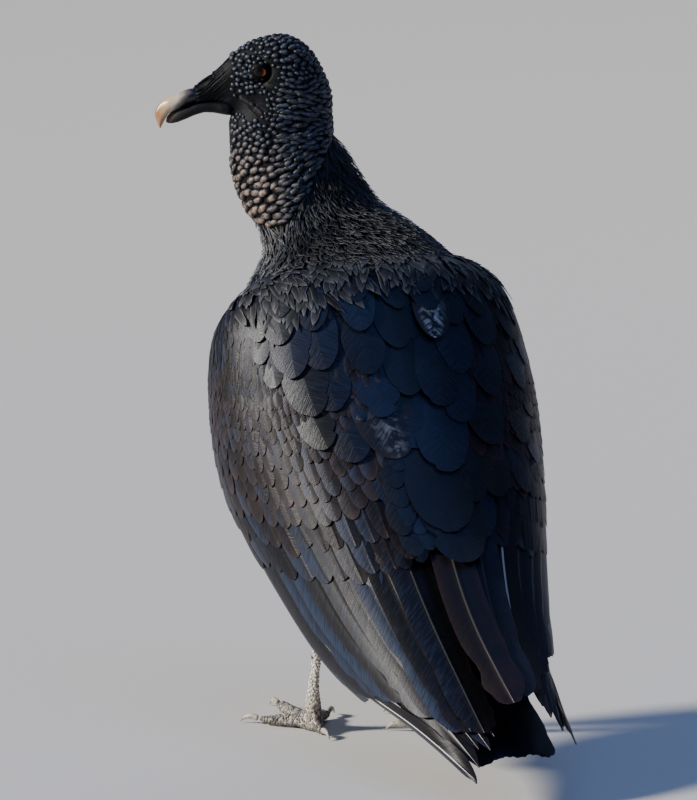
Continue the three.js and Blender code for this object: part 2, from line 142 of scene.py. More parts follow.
towards_camera = np.array([
    math.sin(VIEW_AZIMUTH) * math.cos(VIEW_ELEVATION),
    -math.cos(VIEW_AZIMUTH) * math.cos(VIEW_ELEVATION),
    math.sin(VIEW_ELEVATION),
])
image_right = unit(np.cross(-towards_camera, UP))
image_up = np.cross(image_right, -towards_camera)
aim = place(*LEFT_SOLE)
aim = aim + image_right * (IMAGE_WIDTH / 2 - SOLE_PIXEL[0]) / PIXELS_PER_METRE
aim = aim + image_up * (SOLE_PIXEL[1] - IMAGE_HEIGHT / 2) / PIXELS_PER_METRE

lens = bpy.data.cameras.new("camera")
lens.sensor_width = SENSOR_WIDTH
lens.lens = SENSOR_WIDTH * CAMERA_DISTANCE * PIXELS_PER_METRE / IMAGE_HEIGHT
lens.clip_end = 10 * CAMERA_DISTANCE
camera = add_object("camera", lens)
camera.location = aim + towards_camera * CAMERA_DISTANCE
camera.rotation_euler = Vector(towards_camera).to_track_quat("Z", "Y").to_euler()
bpy.context.scene.camera = camera
print("lens", round(lens.lens), "mm, aimed at", np.round(aim, 3))

# %% [markdown]
# ## Small tools
#
# A few helpers serve the whole script. One turns a hex colour, as a paint chart gives it, into
# the linear numbers that shaders use. One adds a node with its settings and links. The rest make
# a mesh from arrays and read it back as arrays, which is much faster than going face by face.

# %% Colour, node and mesh helpers


def linear(hex_colour):
    """An sRGB hex colour as linear RGBA."""
    channels = [int(hex_colour[i : i + 2], 16) / 255 for i in (1, 3, 5)]
    curve = [c / 12.92 if c <= 0.04045 else ((c + 0.055) / 1.055) ** 2.4 for c in channels]
    return (*curve, 1.0)


def add(tree, kind, inputs=(), stops=(), **settings):
    """Adds a node. inputs fills its sockets, by name or in order, and stops its colour ramp.

    An input is a value, an output of another node, or a node, whose first output is linked.
    """
    node = tree.nodes.new(kind)
    for name, value in settings.items():
        setattr(node, name, value)
    sockets = [socket for socket in node.inputs if socket.enabled]
    if isinstance(inputs, dict):
        named = {socket.name: socket for socket in sockets}
        sockets, inputs = [named[name] for name in inputs], inputs.values()
    for socket, value in zip(sockets, inputs):
        if isinstance(value, bpy.types.Node):
            value = next(output for output in value.outputs if output.enabled)
        if isinstance(value, bpy.types.NodeSocket):
            tree.links.new(value, socket)
        else:
            socket.default_value = value
    for index, (position, colour) in enumerate(stops):
        if index >= len(node.color_ramp.elements):
            node.color_ramp.elements.new(position)
        node.color_ramp.elements[index].position = position
        node.color_ramp.elements[index].color = linear(colour)
    return node


def new_material(name):
    """A material with an empty node tree, and that tree."""
    material = bpy.data.materials.new(name)
    material.use_nodes = True
    material.node_tree.nodes.clear()
    return material, material.node_tree


def mesh_object(name, points, faces, material):
    """An object at the origin from an array of points and an array or list of faces."""
    mesh = bpy.data.meshes.new(name)
    if isinstance(faces, list):
        sizes = np.array([len(face) for face in faces])
        corners = np.concatenate(faces)
    else:
        sizes = np.full(len(faces), faces.shape[1])
        corners = faces.ravel()
    mesh.vertices.add(len(points))
    mesh.vertices.foreach_set("co", np.asarray(points, np.float32).ravel())
    mesh.loops.add(len(corners))
    mesh.loops.foreach_set("vertex_index", corners.astype(np.int32))
    mesh.polygons.add(len(sizes))
    starts = np.cumsum(sizes) - sizes
    mesh.polygons.foreach_set("loop_start", starts.astype(np.int32))
    mesh.update(calc_edges=True)
    mesh.validate()
    mesh.shade_smooth()
    mesh.materials.append(material)
    return add_object(name, mesh)


def read(collection, key, width, kind=np.float32):
    """An array with one row for each item of the collection."""
    found = np.empty(len(collection) * width, kind)
    collection.foreach_get(key, found)
    return found.reshape(-1, width)


def points_of(mesh):
    return read(mesh.vertices, "co", 3).astype(float)


def normals_of(mesh):
    return read(mesh.vertex_normals, "vector", 3).astype(float)


def edges_of(mesh):
    return read(mesh.edges, "vertices", 2, np.int32)


def move_points(mesh, points):
    mesh.vertices.foreach_set("co", np.asarray(points, np.float32).ravel())
    mesh.update()


def store(mesh, name, values):
    """Keeps a number or a vector for each point of the mesh, for its material to read."""
    kind, key = ("FLOAT", "value") if values.ndim == 1 else ("FLOAT_VECTOR", "vector")
    attribute = mesh.attributes.new(name, kind, "POINT")
    attribute.data.foreach_set(key, np.asarray(values, np.float32).ravel())


print("helpers ready")

# %% [markdown]
# ## Head directions
#
# The face is described from the middle between the eyes: so many millimetres towards the bill,
# up, and out to the side. Both halves of the face are made alike by using the distance to the
# side without its sign.

# %% Measure places on the head
SIDE = unit(left_eye_centre - right_eye_centre)
BILLWARD = np.cross(SIDE, UP)


def on_head(points):
    """Millimetres towards the bill, up and to the side, from between the eyes."""
    offset = (points - between_eyes) / MM
    return offset @ BILLWARD, offset @ UP, offset @ SIDE


# The bare hood ends at this height, by the distance towards the bill.
hood_edge = profile((-62, -34), (-51, -43), (-40, -66), (-21, -98), (-5, -104), (20, -104))


def bareness(points, blur=4):
    """1 on the bare hood of head and neck, 0 where feathers grow."""
    ahead, up, _ = on_head(points)
    return smoothstep(-blur, blur, up - hood_edge(ahead))


EYE_DEPTH = np.linalg.norm(left_eye_centre - between_eyes) / MM
print("each eye's centre is", round(EYE_DEPTH, 1), "mm from the head's middle plane")

# %% [markdown]
# ## One skin
#
# The frame cuts the body into named parts. A real skin has no such cuts. Copies of the fleshy
# parts are swollen a little so that they touch, and a voxel remesh turns them into one even
# surface. Sculpting it by hand would also work, but this way it follows the frame exactly.

# %% Join the fleshy parts
SKIN_VOXEL = 3.2 * MM
SWELL = 0.5 * MM  # closes the small gaps that the frame leaves between its parts
WING_FLESH_ENDS = 190  # beyond this many millimetres along it, a wing is only feathers
DIGITS = [f"{side}_{toe}" for side in ("left", "right") for toe in ("middle", "inner", "outer", "hind")]
LEGS = ["left_tarsus", "right_tarsus", *(digit + "_toe" for digit in DIGITS)]
FLESH = ["trunk", "neck", "head", "left_thigh", "right_thigh", *LEGS]
SHOULDER = place(50, 0, 292)
ALONG = unit(place(-250, 0, 40) - SHOULDER)
DORSAL = np.cross(LEFTWARD, ALONG)


def cad_copy(node, swell):
    """A bmesh of a CAD node's shape, with its loose triangles merged, swollen a little."""
    piece = bmesh.new()
    piece.from_mesh(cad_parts[node].data)
    bmesh.ops.remove_doubles(piece, verts=piece.verts, dist=1e-5)
    piece.normal_update()
    for vertex in piece.verts:
        vertex.co += vertex.normal * swell
    return piece


def voxel_remesh(mesh, voxel):
    """A new mesh: the outer surface of all the closed shapes in this one."""
    source = add_object("remesh", mesh)
    modifier = source.modifiers.new("voxels", "REMESH")
    modifier.mode = "VOXEL"
    modifier.voxel_size = voxel
    evaluated = source.evaluated_get(bpy.context.evaluated_depsgraph_get())
    made = bpy.data.meshes.new_from_object(evaluated)
    bpy.data.objects.remove(source)
    return made


def joined_copy(nodes, swell):
    """One mesh that holds copies of these nodes."""
    joined = bpy.data.meshes.new("joined")
    whole = bmesh.new()
    for node in nodes:
        piece = cad_copy(node, swell)
        if node.endswith("_wing"):
            cut = SHOULDER + ALONG * WING_FLESH_ENDS * MM
            parts = [*piece.verts, *piece.edges, *piece.faces]
            bmesh.ops.bisect_plane(piece, geom=parts, plane_co=cut, plane_no=ALONG, clear_outer=True)
            bmesh.ops.holes_fill(piece, edges=[e for e in piece.edges if e.is_boundary])
        piece.to_mesh(joined)
        piece.free()
        whole.from_mesh(joined)
    whole.to_mesh(joined)
    whole.free()
    return joined


skin_mesh = voxel_remesh(joined_copy([*FLESH, "left_wing", "right_wing"], SWELL), SKIN_VOXEL)
print("skin:", len(skin_mesh.vertices), "points after the remesh")

# %% [markdown]
# ## Smooth, then sink below the feathers
#
# The frame is faceted and its parts meet in creases. Moving each point towards the mean of its
# neighbours melts both away. The feet and the face melt least. Then the skin sinks by the depth of
# the coat, so that the tips of the feathers, not the skin, reach the frame's outline.

# %% Smooth the skin and sink it
FEATHER_DEPTH = 5.0  # millimetres from the skin to the outer feathers
NODULE_DEPTH = 0.8  # and to the top of the nodules on the bare hood


def neighbour_mean(points, edges):
    total = np.zeros_like(points)
    np.add.at(total, edges[:, 0], points[edges[:, 1]])
    np.add.at(total, edges[:, 1], points[edges[:, 0]])
    count = np.bincount(edges.ravel(), minlength=len(points))
    return total / np.maximum(count, 1)[:, None]


def smooth(mesh, weight, times):
    """Moves points towards their neighbours' mean. weight from 0 to 1 says how far."""
    points, edges = points_of(mesh), edges_of(mesh)
    for _ in range(times):
        points += (neighbour_mean(points, edges) - points) * weight[:, None]
    move_points(mesh, points)
    return points


def near_nodes(points, nodes, margin):
    """Which points lie in the boxes of these nodes, widened by a margin in millimetres."""
    inside = np.zeros(len(points), bool)
    for node in nodes:
        low, high = box(node)
        inside |= np.all((points > low - margin * MM) & (points < high + margin * MM), axis=1)
    return inside


def on_legs(points):
    """Which points lie on a shank or a toe."""
    return near_nodes(points, LEGS, 1.5) & (points[:, 2] < box("left_tarsus")[1][2])


skin_points = points_of(skin_mesh)
is_leg = on_legs(skin_points)
ahead, up, _ = on_head(skin_points)
is_face = (up > -40) & (ahead > -36)
melt = np.where(is_leg, 0.25, np.where(is_face, np.where(ahead > 20, 0.15, 0.4), 0.8))
skin_points = smooth(skin_mesh, melt, 14)

from_axis = skin_points - (SHOULDER + ((skin_points - SHOULDER) @ ALONG)[:, None] * ALONG)
skin_normals = normals_of(skin_mesh)
faces_out = smoothstep(-0.1, 0.5, np.sum(skin_normals * unit(from_axis), axis=1))
bare = bareness(skin_points)
depth = bare * NODULE_DEPTH + (1 - bare) * FEATHER_DEPTH * faces_out
depth = np.where(is_leg, SWELL / MM, depth)
for _ in range(6):
    depth = depth * 0.4 + neighbour_mean(depth[:, None], edges_of(skin_mesh))[:, 0] * 0.6
move_points(skin_mesh, skin_points - skin_normals * (depth * MM)[:, None])
print("skin lies", FEATHER_DEPTH, "mm deep under feathers and", NODULE_DEPTH, "mm under nodules")

# %% [markdown]
# ## Finer skin where it is bare
#
# Bare skin shows its folds, so it needs more points than skin under feathers. Only the faces of
# the hood and the legs are divided, and those of the face twice. This keeps the mesh light
# where nothing will ever be seen.

# %% Divide the bare skin


def divide(mesh, chosen):
    """Divides each edge whose two points are chosen, then smooths the new points a little."""
    work = bmesh.new()
    work.from_mesh(mesh)
    work.verts.ensure_lookup_table()
    edges = [e for e in work.edges if chosen[e.verts[0].index] and chosen[e.verts[1].index]]
    bmesh.ops.subdivide_edges(work, edges=edges, cuts=1, use_grid_fill=True, smooth=0.6)
    work.to_mesh(mesh)
    work.free()


divide(skin_mesh, (bareness(points_of(skin_mesh) + UP * 4 * MM) > 0.5) | is_leg)
ahead, up, _ = on_head(points_of(skin_mesh))
divide(skin_mesh, (up > -38) & (ahead > -40))
skin_points = points_of(skin_mesh)
skin_points = smooth(skin_mesh, np.where(bareness(skin_points) > 0.5, 0.5, 0.0), 4)
print("skin:", len(skin_mesh.vertices), "points,", len(skin_mesh.polygons), "faces")

# %% [markdown]
# ## Sculpting the face
#
# A vulture's face is built of a few clear forms: a socket with a ring of lid round each eye,
# longitudinal wrinkles over the soft cere that carries the horn of the bill, a slit of a
# nostril that goes right through, a thick fold at the corner of the mouth, and folds round the
# back of the neck. Each is a function of the head's own directions that says how far the skin
# rises, so each can be tuned by itself.

# %% Shape the face
EYE_RADIUS = (box("left_eye")[1][2] - box("left_eye")[0][2]) / 2 / MM
LID_OPENING = (4.4, 3.3)  # half width and half height of the opening between the lids
NOSTRIL = ((34.0, -5.5), (43.5, -12.5))  # its back and front ends
MOUTH_CORNER = ((13.0, -19.5), (5.0, -23.5), (-1.0, -28.5))  # along the fold of the gape


def distance_to_line(ahead, up, start, end):
    """Distance from a line in the side view."""
    line = np.subtract(end, start)
    share = ((ahead - start[0]) * line[0] + (up - start[1]) * line[1]) / (line @ line)
    share = np.clip(share, 0, 1)
    return np.hypot(ahead - start[0] - share * line[0], up - start[1] - share * line[1])


def hill(ahead, up, middle, reach):
    """A smooth round rise of 1 at a place in the side view, which fades over its reach."""
    return np.exp(-(((ahead - middle[0]) / reach[0]) ** 2 + ((up - middle[1]) / reach[1]) ** 2))


culmen = profile((0, 26), (17.5, 12.6), (24.5, 6.5), (31.5, -1.2), (42.5, -10), (49.5, -14.2))


def face_relief(points):
    """How far the skin rises, in millimetres, over each of these points."""
    ahead, up, _ = on_head(points)
    # the brow stands out over the eye, the cheek bulges behind it, and a furrow runs below it
    rise = 1.5 * hill(ahead, up, (-1, 7.2), (8, 2.4))
    rise += 0.8 * hill(ahead, up, (-14, -5), (8, 8))
    rise -= 0.9 * hill(ahead, up, (-1, -8), (9, 2.4))
    # wrinkles run along the cere, below and beside the ridge of the bill
    below_ridge = culmen(ahead) - up
    on_cere = smoothstep(20, 27, ahead) * (1 - smoothstep(46, 50, ahead))
    waver = 0.5 * np.sin(ahead * 0.45) + 0.3 * np.sin(ahead * 1.1 + up)
    rise += on_cere * 0.45 * np.sin((below_ridge + waver) * 2 * np.pi / 2.3)
    # the lower edge of the cere hangs a little over the lower bill
    rise += 1.3 * smoothstep(16, 22, ahead) * smoothstep(-19, -23, up)
    # the nostril is a slit with a raised rim
    gap = distance_to_line(ahead, up, *NOSTRIL)
    rise += 0.7 * np.exp(-(((gap - 2.0) / 0.8) ** 2))
    # the corner of the mouth: a thick pale fold between two grooves
    for start, end in zip(MOUTH_CORNER, MOUTH_CORNER[1:]):
        gap = distance_to_line(ahead, up, start, end)
        rise += 1.1 * np.exp(-((gap / 1.1) ** 2)) - 0.6 * np.exp(-(((gap - 2.2) / 0.7) ** 2))
    # folds wrap the back and the sides of the neck
    behind = smoothstep(2, -16, ahead) * smoothstep(-4, -14, up)
    waver = up - 0.35 * ahead + 0.8 * np.sin(ahead * 0.35)
    rise += behind * 0.55 * np.sin(waver * 2 * np.pi / 4.6)
    return rise


def carve_nostrils(points):
    """Pulls the skin inside the slit in to the middle of the bill, which leaves it open."""
    ahead, up, side = on_head(points)
    gap = distance_to_line(ahead, up, *NOSTRIL)
    inside = 1 - smoothstep(0.55, 1.25, gap)
    wanted = np.sign(side) * np.minimum(np.abs(side), 1.2)
    return points + SIDE * ((wanted - side) * inside * (np.abs(side) > 2) * MM)[:, None]


def open_lids(points):
    """Presses the skin inside the lids behind the eyeball and lays the rest just over it."""
    ahead, up, side = on_head(points)
    reach = np.hypot(ahead / LID_OPENING[0], up / LID_OPENING[1])
    radial = np.hypot(ahead, up)
    ball = EYE_DEPTH + np.sqrt(np.maximum(EYE_RADIUS**2 - radial**2, 0))
    lid = np.where(reach < 1.12, EYE_DEPTH - 1.0, ball + 0.5)
    near = 1 - smoothstep(6.2, 9.0, radial)
    level = np.abs(side) * (1 - near) + lid * near
    moves = (radial < 9.0) & (np.abs(side) > EYE_DEPTH - 6)
    return points + SIDE * np.where(moves, (level - np.abs(side)) * np.sign(side), 0)[:, None] * MM


bare = bareness(skin_points)
is_hood = bare > 0.02
relief = face_relief(skin_points) * bare
skin_points = skin_points + normals_of(skin_mesh) * (relief * MM)[:, None]
skin_points[is_hood] = open_lids(carve_nostrils(skin_points[is_hood]))
move_points(skin_mesh, skin_points)
print("relief from", round(relief.min(), 2), "to", round(relief.max(), 2), "mm")

# %% [markdown]
# ## Lids
#
# The opening between the lids needs a clean smooth rim, so each pair of lids is a ring of its
# own: rounded folds, one inside the other, that hug the ball. The ring is joined to the skin
# and sinks into it at its outer edge.

# %% Lay the lids on the eyeballs
LID_STEPS = 56
# Each pair: how far out from the opening, in millimetres, and how far above the ball.
LID_SECTION = ((-0.15, -0.6), (-0.2, 0.1), (0.0, 0.3), (0.25, 0.34), (0.5, 0.2), (0.7, 0.0),
               (0.95, 0.22), (1.25, 0.26), (1.6, 0.05), (2.0, 0.15), (2.5, -0.1), (3.4, -0.8))


def lid_ring(sign):
    """Points and faces of the lids round one eye. sign is 1 for the left eye."""
    angle = np.linspace(0, 2 * np.pi, LID_STEPS, endpoint=False)
    corner = 0.75 * np.abs(np.cos(angle)) ** 6  # the lids meet in a small point fore and aft
    rings = []
    for out, rise in LID_SECTION:
        ahead = (LID_OPENING[0] + corner + out) * np.cos(angle)
        up = (LID_OPENING[1] + out) * np.sin(angle)
        ripple = 0.08 * np.sin(angle * 9 + out * 3) * smoothstep(0.6, 1.6, out)
        radial = np.hypot(ahead, up)
        ball = EYE_DEPTH + np.sqrt(np.maximum(EYE_RADIUS**2 - radial**2, 1))
        side = sign * (ball + rise + ripple)
        offset = ahead[:, None] * BILLWARD + up[:, None] * UP + side[:, None] * SIDE
        rings.append(between_eyes + offset * MM)
    faces = []
    for i in range(len(rings) - 1):
        for k in range(LID_STEPS):
            after = (k + 1) % LID_STEPS
            near, far = i * LID_STEPS, (i + 1) * LID_STEPS
            face = [near + k, near + after, far + after, far + k]
            faces.append(face if sign < 0 else face[::-1])
    return np.concatenate(rings), faces


def join_to_skin(points, faces):
    work = bmesh.new()
    work.from_mesh(skin_mesh)
    verts = [work.verts.new(point) for point in points]
    for face in faces:
        work.faces.new([verts[i] for i in face])
    work.to_mesh(skin_mesh)
    work.free()


for sign in (1, -1):
    join_to_skin(*lid_ring(sign))
skin_points = points_of(skin_mesh)
print("lids:", 2 * LID_STEPS * len(LID_SECTION), "points in two rings")

# %% [markdown]
# ## Bare skin
#
# A black vulture's hood is bare, leathery skin over a layer of fat: slate black, dry and matte, with a
# faint blue bloom; the tops of its nodules are painted paler as highlights. Fine creases run everywhere.
# The material works from Object coordinates, so it stays put on the finished mesh.

# %% Skin material
BARE_SLATE, BARE_BLOOM = "#030304", "#101217"
MOUTH_FOLD = "#3b3336"
SOCKET_SHADE = "#050506"
UNDER_PLUMAGE = "#0b0c0e"
DUSTY_SHANK = ((0.25, "#6f675c"), (0.6, "#c9c1b2"), (0.85, "#e6e0d4"))


def lumps(where, size_mm, detail):
    """Inputs of a noise whose lumps are about size_mm across."""
    return {"Vector": where, "Scale": 1 / (size_mm * MM), "Detail": detail, "Roughness": 0.55}


def make_skin_material():
    material, tree = new_material("bare_slate_skin")
    here = add(tree, "ShaderNodeTexCoord").outputs["Object"]
    kind = add(tree, "ShaderNodeAttribute", attribute_name="skin_kind").outputs["Vector"]
    kind = add(tree, "ShaderNodeSeparateXYZ", [kind]).outputs
    hood, fold, leg = kind["X"], kind["Y"], kind["Z"]
    painted_socket_shade = add(tree, "ShaderNodeAttribute", attribute_name="painted_socket_shade").outputs["Fac"]
    mottle = add(tree, "ShaderNodeTexNoise", lumps(here, 5, 4.0))
    pores = add(tree, "ShaderNodeTexNoise", lumps(here, 0.9, 2.0))
    slate = add(tree, "ShaderNodeValToRGB", [mottle], ((0.3, BARE_SLATE), (0.75, BARE_BLOOM)))
    slate = add(tree, "ShaderNodeMix", [fold, slate, linear(MOUTH_FOLD)], data_type="RGBA")
    # painted shade: the skin round each eye is darkened, as shade in the socket
    slate = add(tree, "ShaderNodeMix", [painted_socket_shade, slate, linear(SOCKET_SHADE)], data_type="RGBA")
    colour = add(tree, "ShaderNodeMix", [hood, linear(UNDER_PLUMAGE), slate], data_type="RGBA")
    shank = add(tree, "ShaderNodeValToRGB", [pores], DUSTY_SHANK)
    colour = add(tree, "ShaderNodeMix", [leg, colour, shank], data_type="RGBA")
    rough = add(tree, "ShaderNodeMath", [mottle, 0.25, 0.4], operation="MULTIPLY_ADD")
    bump = add(tree, "ShaderNodeBump", {"Height": pores, "Distance": 0.25 * MM})
    shader = add(tree, "ShaderNodeBsdfPrincipled", {
        "Base Color": colour, "Roughness": rough, "Specular IOR Level": 0.12, "Normal": bump})
    add(tree, "ShaderNodeOutputMaterial", {"Surface": shader})
    return material


skin_mesh.name = "skin"
skin_mesh.materials.clear()
skin_mesh.materials.append(make_skin_material())
skin = add_object("skin", skin_mesh)
skin_mesh.shade_smooth()
ahead, up, side = on_head(skin_points)
fold_amount = np.zeros(len(skin_points))
for start, end in zip(MOUTH_CORNER, MOUTH_CORNER[1:]):
    gap = distance_to_line(ahead, up, start, end)
    fold_amount = np.maximum(fold_amount, 0.8 * np.exp(-((gap / 1.3) ** 2)))
hood_amount = bareness(skin_points)
kinds = [hood_amount, fold_amount * hood_amount, on_legs(skin_points).astype(float)]
store(skin_mesh, "skin_kind", np.stack(kinds, axis=1))
# painted shade round each eye: the socket's skin is darkened as if in shade
in_socket = 1 - smoothstep(5.5, 10.5, np.hypot(ahead, up))
store(skin_mesh, "painted_socket_shade", 0.85 * in_socket * (np.abs(side) > 5))
print("skin material set on", len(skin_mesh.polygons), "faces")

# %% [markdown]
# ## Where each feather grows
#
# A coat of many small pieces needs a second UV map for baking: each vane takes one tiny patch
# of it, at its root's place on an unwrap of the skin. So the skin is unwrapped once, by the
# angles of its own faces, and each root looks up the nearest face.

# %% Unwrap the skin and look up roots
BAKE_MAP = "OFBake"
BAKE_PATCH = 0.003  # the side of one vane's patch, as a share of the map
bpy.context.view_layer.objects.active = skin
skin.select_set(True)
bpy.ops.object.mode_set(mode="EDIT")
bpy.ops.mesh.select_all(action="SELECT")
bpy.ops.uv.smart_project(angle_limit=math.radians(66), island_margin=0.002)
bpy.ops.object.mode_set(mode="OBJECT")
skin_mesh = skin.data
skin_mesh.uv_layers[0].name = BAKE_MAP
skin_uvs = read(skin_mesh.uv_layers[0].data, "uv", 2)
skin_loop_starts = read(skin_mesh.polygons, "loop_start", 1, np.int32)[:, 0]
skin_tree = BVHTree.FromPolygons(
    skin_points.tolist(), [list(face.vertices) for face in skin_mesh.polygons],
)


def root_patches(roots):
    """For each root, the skin's unwrapped place nearest to it."""
    faces = [skin_tree.find_nearest(root)[2] for root in roots]
    return skin_uvs[skin_loop_starts[faces]]


print("unwrapped into one map,", len(skin_uvs), "corners")

# %% [markdown]
# ## What a feather is
#
# A contour feather is a shaft with a flat vane on each side, made of hundreds of barbs that run
# out and forward from it. Here each one is a thin closed lens: a grid of points on top, another
# underneath, joined all the way round its edge. Geometry Nodes could scatter copies of one
# vane, but then no vane could bend round the body under it. Arrays let every vane follow the
# surface that it lies on, wear its own notches, and still be made in a blink.
#
# The outline functions say how wide a feather is along its length, from 0 at its root to 1 at
# its tip.

# %% Outlines of feathers


def round_outline(y):
    """Contour feather: a narrow base, parallel sides and a round tip."""
    base = 0.35 + 0.65 * smoothstep(0, 0.4, y)
    return base * np.sqrt(np.clip(1 - np.clip((y - 0.66) / 0.345, 0, 1) ** 2, 0.012, 1))


def blunt_outline(y):
    """Secondary: nearly parallel sides with a blunt, barely rounded end."""
    base = 0.5 + 0.5 * smoothstep(0, 0.25, y)
    return base * np.sqrt(np.clip(1 - np.clip((y - 0.9) / 0.103, 0, 1) ** 2.4, 0.012, 1))


def long_outline(y):
    """Primary: parallel sides that draw in to a narrow round tip."""
    base = 0.5 + 0.5 * smoothstep(0, 0.25, y)
    return base * np.clip(1 - np.clip((y - 0.72) / 0.285, 0, 1) ** 2.2, 0.04, 1)


def hair_outline(y):
    """Hackle: a narrow tuft that frays to a point."""
    return (0.3 + 0.7 * smoothstep(0, 0.35, y)) * np.clip(1 - smoothstep(0.45, 1.05, y), 0.04, 1)


def oval_outline(y):
    """Scapular: broad, with an end that is rounded from its middle on."""
    base = 0.4 + 0.6 * smoothstep(0, 0.45, y)
    return base * np.sqrt(np.clip(1 - np.clip((y - 0.5) / 0.503, 0, 1) ** 2, 0.012, 1))


def rows_along(count):
    """Places along a feather, closer together towards its tip."""
    return np.sin(np.linspace(0, np.pi / 2, count)) ** 0.92


NARROW = np.array([-1.0, 0.0, 1.0])
MEDIUM = np.array([-1.0, -0.5, 0.0, 0.5, 1.0])
BROAD = np.array([-1.0, -0.66, -0.33, -0.05, 0.0, 0.05, 0.33, 0.66, 1.0])
print("five outlines; a broad vane has", len(BROAD), "points across")

# %% [markdown]
# ## The coat
#
# A coat gathers vanes into one mesh. It knows three things about each point of a vane: where
# the surface below it is, which way is out, and how far above the surface the vane lies there.
# It also stores, for the material, the place on the vane in millimetres, so that barbs keep
# their real size on every feather, and a random number that makes each feather its own.

# %% Gather vanes into coats
dice = np.random.default_rng(20)


def vane_template(rows, columns):
    """Quads of one lens: its top grid, then the underside, which shares the rim's points."""
    top = np.arange(rows * columns).reshape(rows, columns)
    under = top.copy()
    inner = (rows - 2) * (columns - 2)
    under[1:-1, 1:-1] = rows * columns + np.arange(inner).reshape(rows - 2, columns - 2)
    quads = []
    for grid, order in ((top, (0, 1, 2, 3)), (under, (3, 2, 1, 0))):
        corners = np.stack([grid[:-1, :-1], grid[1:, :-1], grid[1:, 1:], grid[:-1, 1:]], axis=-1)
        quads.append(corners.reshape(-1, 4)[:, order])
    return np.concatenate(quads), rows * columns + inner


class Coat:
    """Vanes that become one mesh."""

    def __init__(self, name):
        self.name = name
        self.points, self.faces, self.vane, self.barb, self.patch = [], [], [], [], []
        self.count = 0
        self.vanes = 0

    def add(self, surface, out, lift, x, y, barb_mm, thick=0.35, shaft=0.0, brown=0.0):
        """surface, out: points and directions, by feather, row and column. lift, in mm."""
        n, rows, columns, _ = surface.shape
        template, per_vane = vane_template(rows, columns)
        top = surface + out * (lift * MM)[..., None]
        under = top - out * (thick * MM)
        middle = columns // 2
        across, along = top[:, 1, -1] - top[:, 1, 0], top[:, -2, middle] - top[:, 0, middle]
        flipped = np.sum(np.cross(along, across) * out[:, 1, middle]) < 0
        points = np.concatenate([top.reshape(n, -1, 3), under[:, 1:-1, 1:-1].reshape(n, -1, 3)], axis=1)

        def with_under(values):
            return np.concatenate([values.reshape(n, -1), values[:, 1:-1, 1:-1].reshape(n, -1)], axis=1)

        shape = (n, rows, columns)
        x_all = np.broadcast_to(x, shape)
        y_all = np.broadcast_to(y[None, :, None], shape)
        own = np.broadcast_to(dice.random(n)[:, None, None], shape)
        shaft_all = np.broadcast_to(np.asarray(shaft, float).reshape(-1, 1, 1), shape)
        brown_all = np.broadcast_to(np.asarray(brown, float).reshape(-1, 1, 1), shape)
        quads = template[:, ::-1] if flipped else template
        faces = quads[None] + (self.count + np.arange(n) * per_vane)[:, None, None]
        patch = root_patches(top[:, 0, middle])
        u = patch[:, None, 0] + BAKE_PATCH * 0.5 * with_under(x_all)
        v = patch[:, None, 1] + BAKE_PATCH * (with_under(y_all) - 0.5)
        self.points.append(points.reshape(-1, 3))
        self.faces.append(faces.reshape(-1, 4))
        vane = [with_under(values) for values in (x_all, y_all, shaft_all)]
        self.vane.append(np.stack(vane, -1).reshape(-1, 3))
        barbs = [with_under(np.broadcast_to(b, shape)) for b in barb_mm]
        self.barb.append(np.stack([*barbs, with_under(own)], -1).reshape(-1, 3))
        self.patch.append(np.stack([u, v, with_under(brown_all)], -1).reshape(-1, 3))
        self.count += n * per_vane
        self.vanes += n

    def make(self, material, slot, *replaced):
        """Turns the gathered vanes into one piece that rides on the bird."""
        points, faces = np.concatenate(self.points), np.concatenate(self.faces)
        piece = mesh_object(self.name, points, faces, material)
        patch = np.concatenate(self.patch)
        store(piece.data, "vane", np.concatenate(self.vane))
        store(piece.data, "barb", np.concatenate(self.barb))
        store(piece.data, "wear_and_sheen", patch[:, 2])
        layer = piece.data.uv_layers.new(name=BAKE_MAP)
        layer.data.foreach_set("uv", patch[faces.ravel(), :2].astype(np.float32).ravel())
        piece.data.set_sharp_from_angle(angle=math.radians(50))
        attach(piece, "root")
        if replaced:
            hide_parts(*replaced)
        print(f"{self.name}: {self.vanes} vanes, {2 * len(faces)} triangles")


def outline_grid(x, width, ragged, notches):
    """Signed place across each vane, by feather, row and column, with worn and split edges."""
    n, rows = width.shape
    towards_tip = smoothstep(0.3, 0.9, np.linspace(0, 1, rows))[None, :, None]
    wear = 1 - ragged * dice.random((n, rows, 2)) * towards_tip
    row = np.arange(rows)[None, :, None]
    for _ in range(notches):
        middle = dice.uniform(0.45, 0.97, (n, 1, 2)) * (rows - 1)
        deep = dice.uniform(0.0, 0.3, (n, 1, 2))
        wear = wear * (1 - deep * np.exp(-(((row - middle) / 0.7) ** 2)))
    left, right = (width * wear[..., 0])[..., None], (width * wear[..., 1])[..., None]
    return np.where(x < 0, x * left, x * right)


# %% [markdown]
# ## Plumage material
#
# Melanin makes these feathers black, and thin layers of keratin over it give a soft sheen with a hint of
# blue; the blue in their colours is also a painted reflection of blue sky. Each barb catches light along
# its length, so the vane looks finely streaked.
# Sun and rubbing bleach the tips and edges to brown. Real barbs stand about 0.4 mm apart, too
# fine to show, so the streaks are drawn about 1.3 mm wide.

# %% Make plumage
STREAK_MM = 1.3
RIPPLE_MM = 0.9  # the finest relief between barbs
BARB_SLANT = 0.85  # millimetres towards the tip for each one out from the shaft


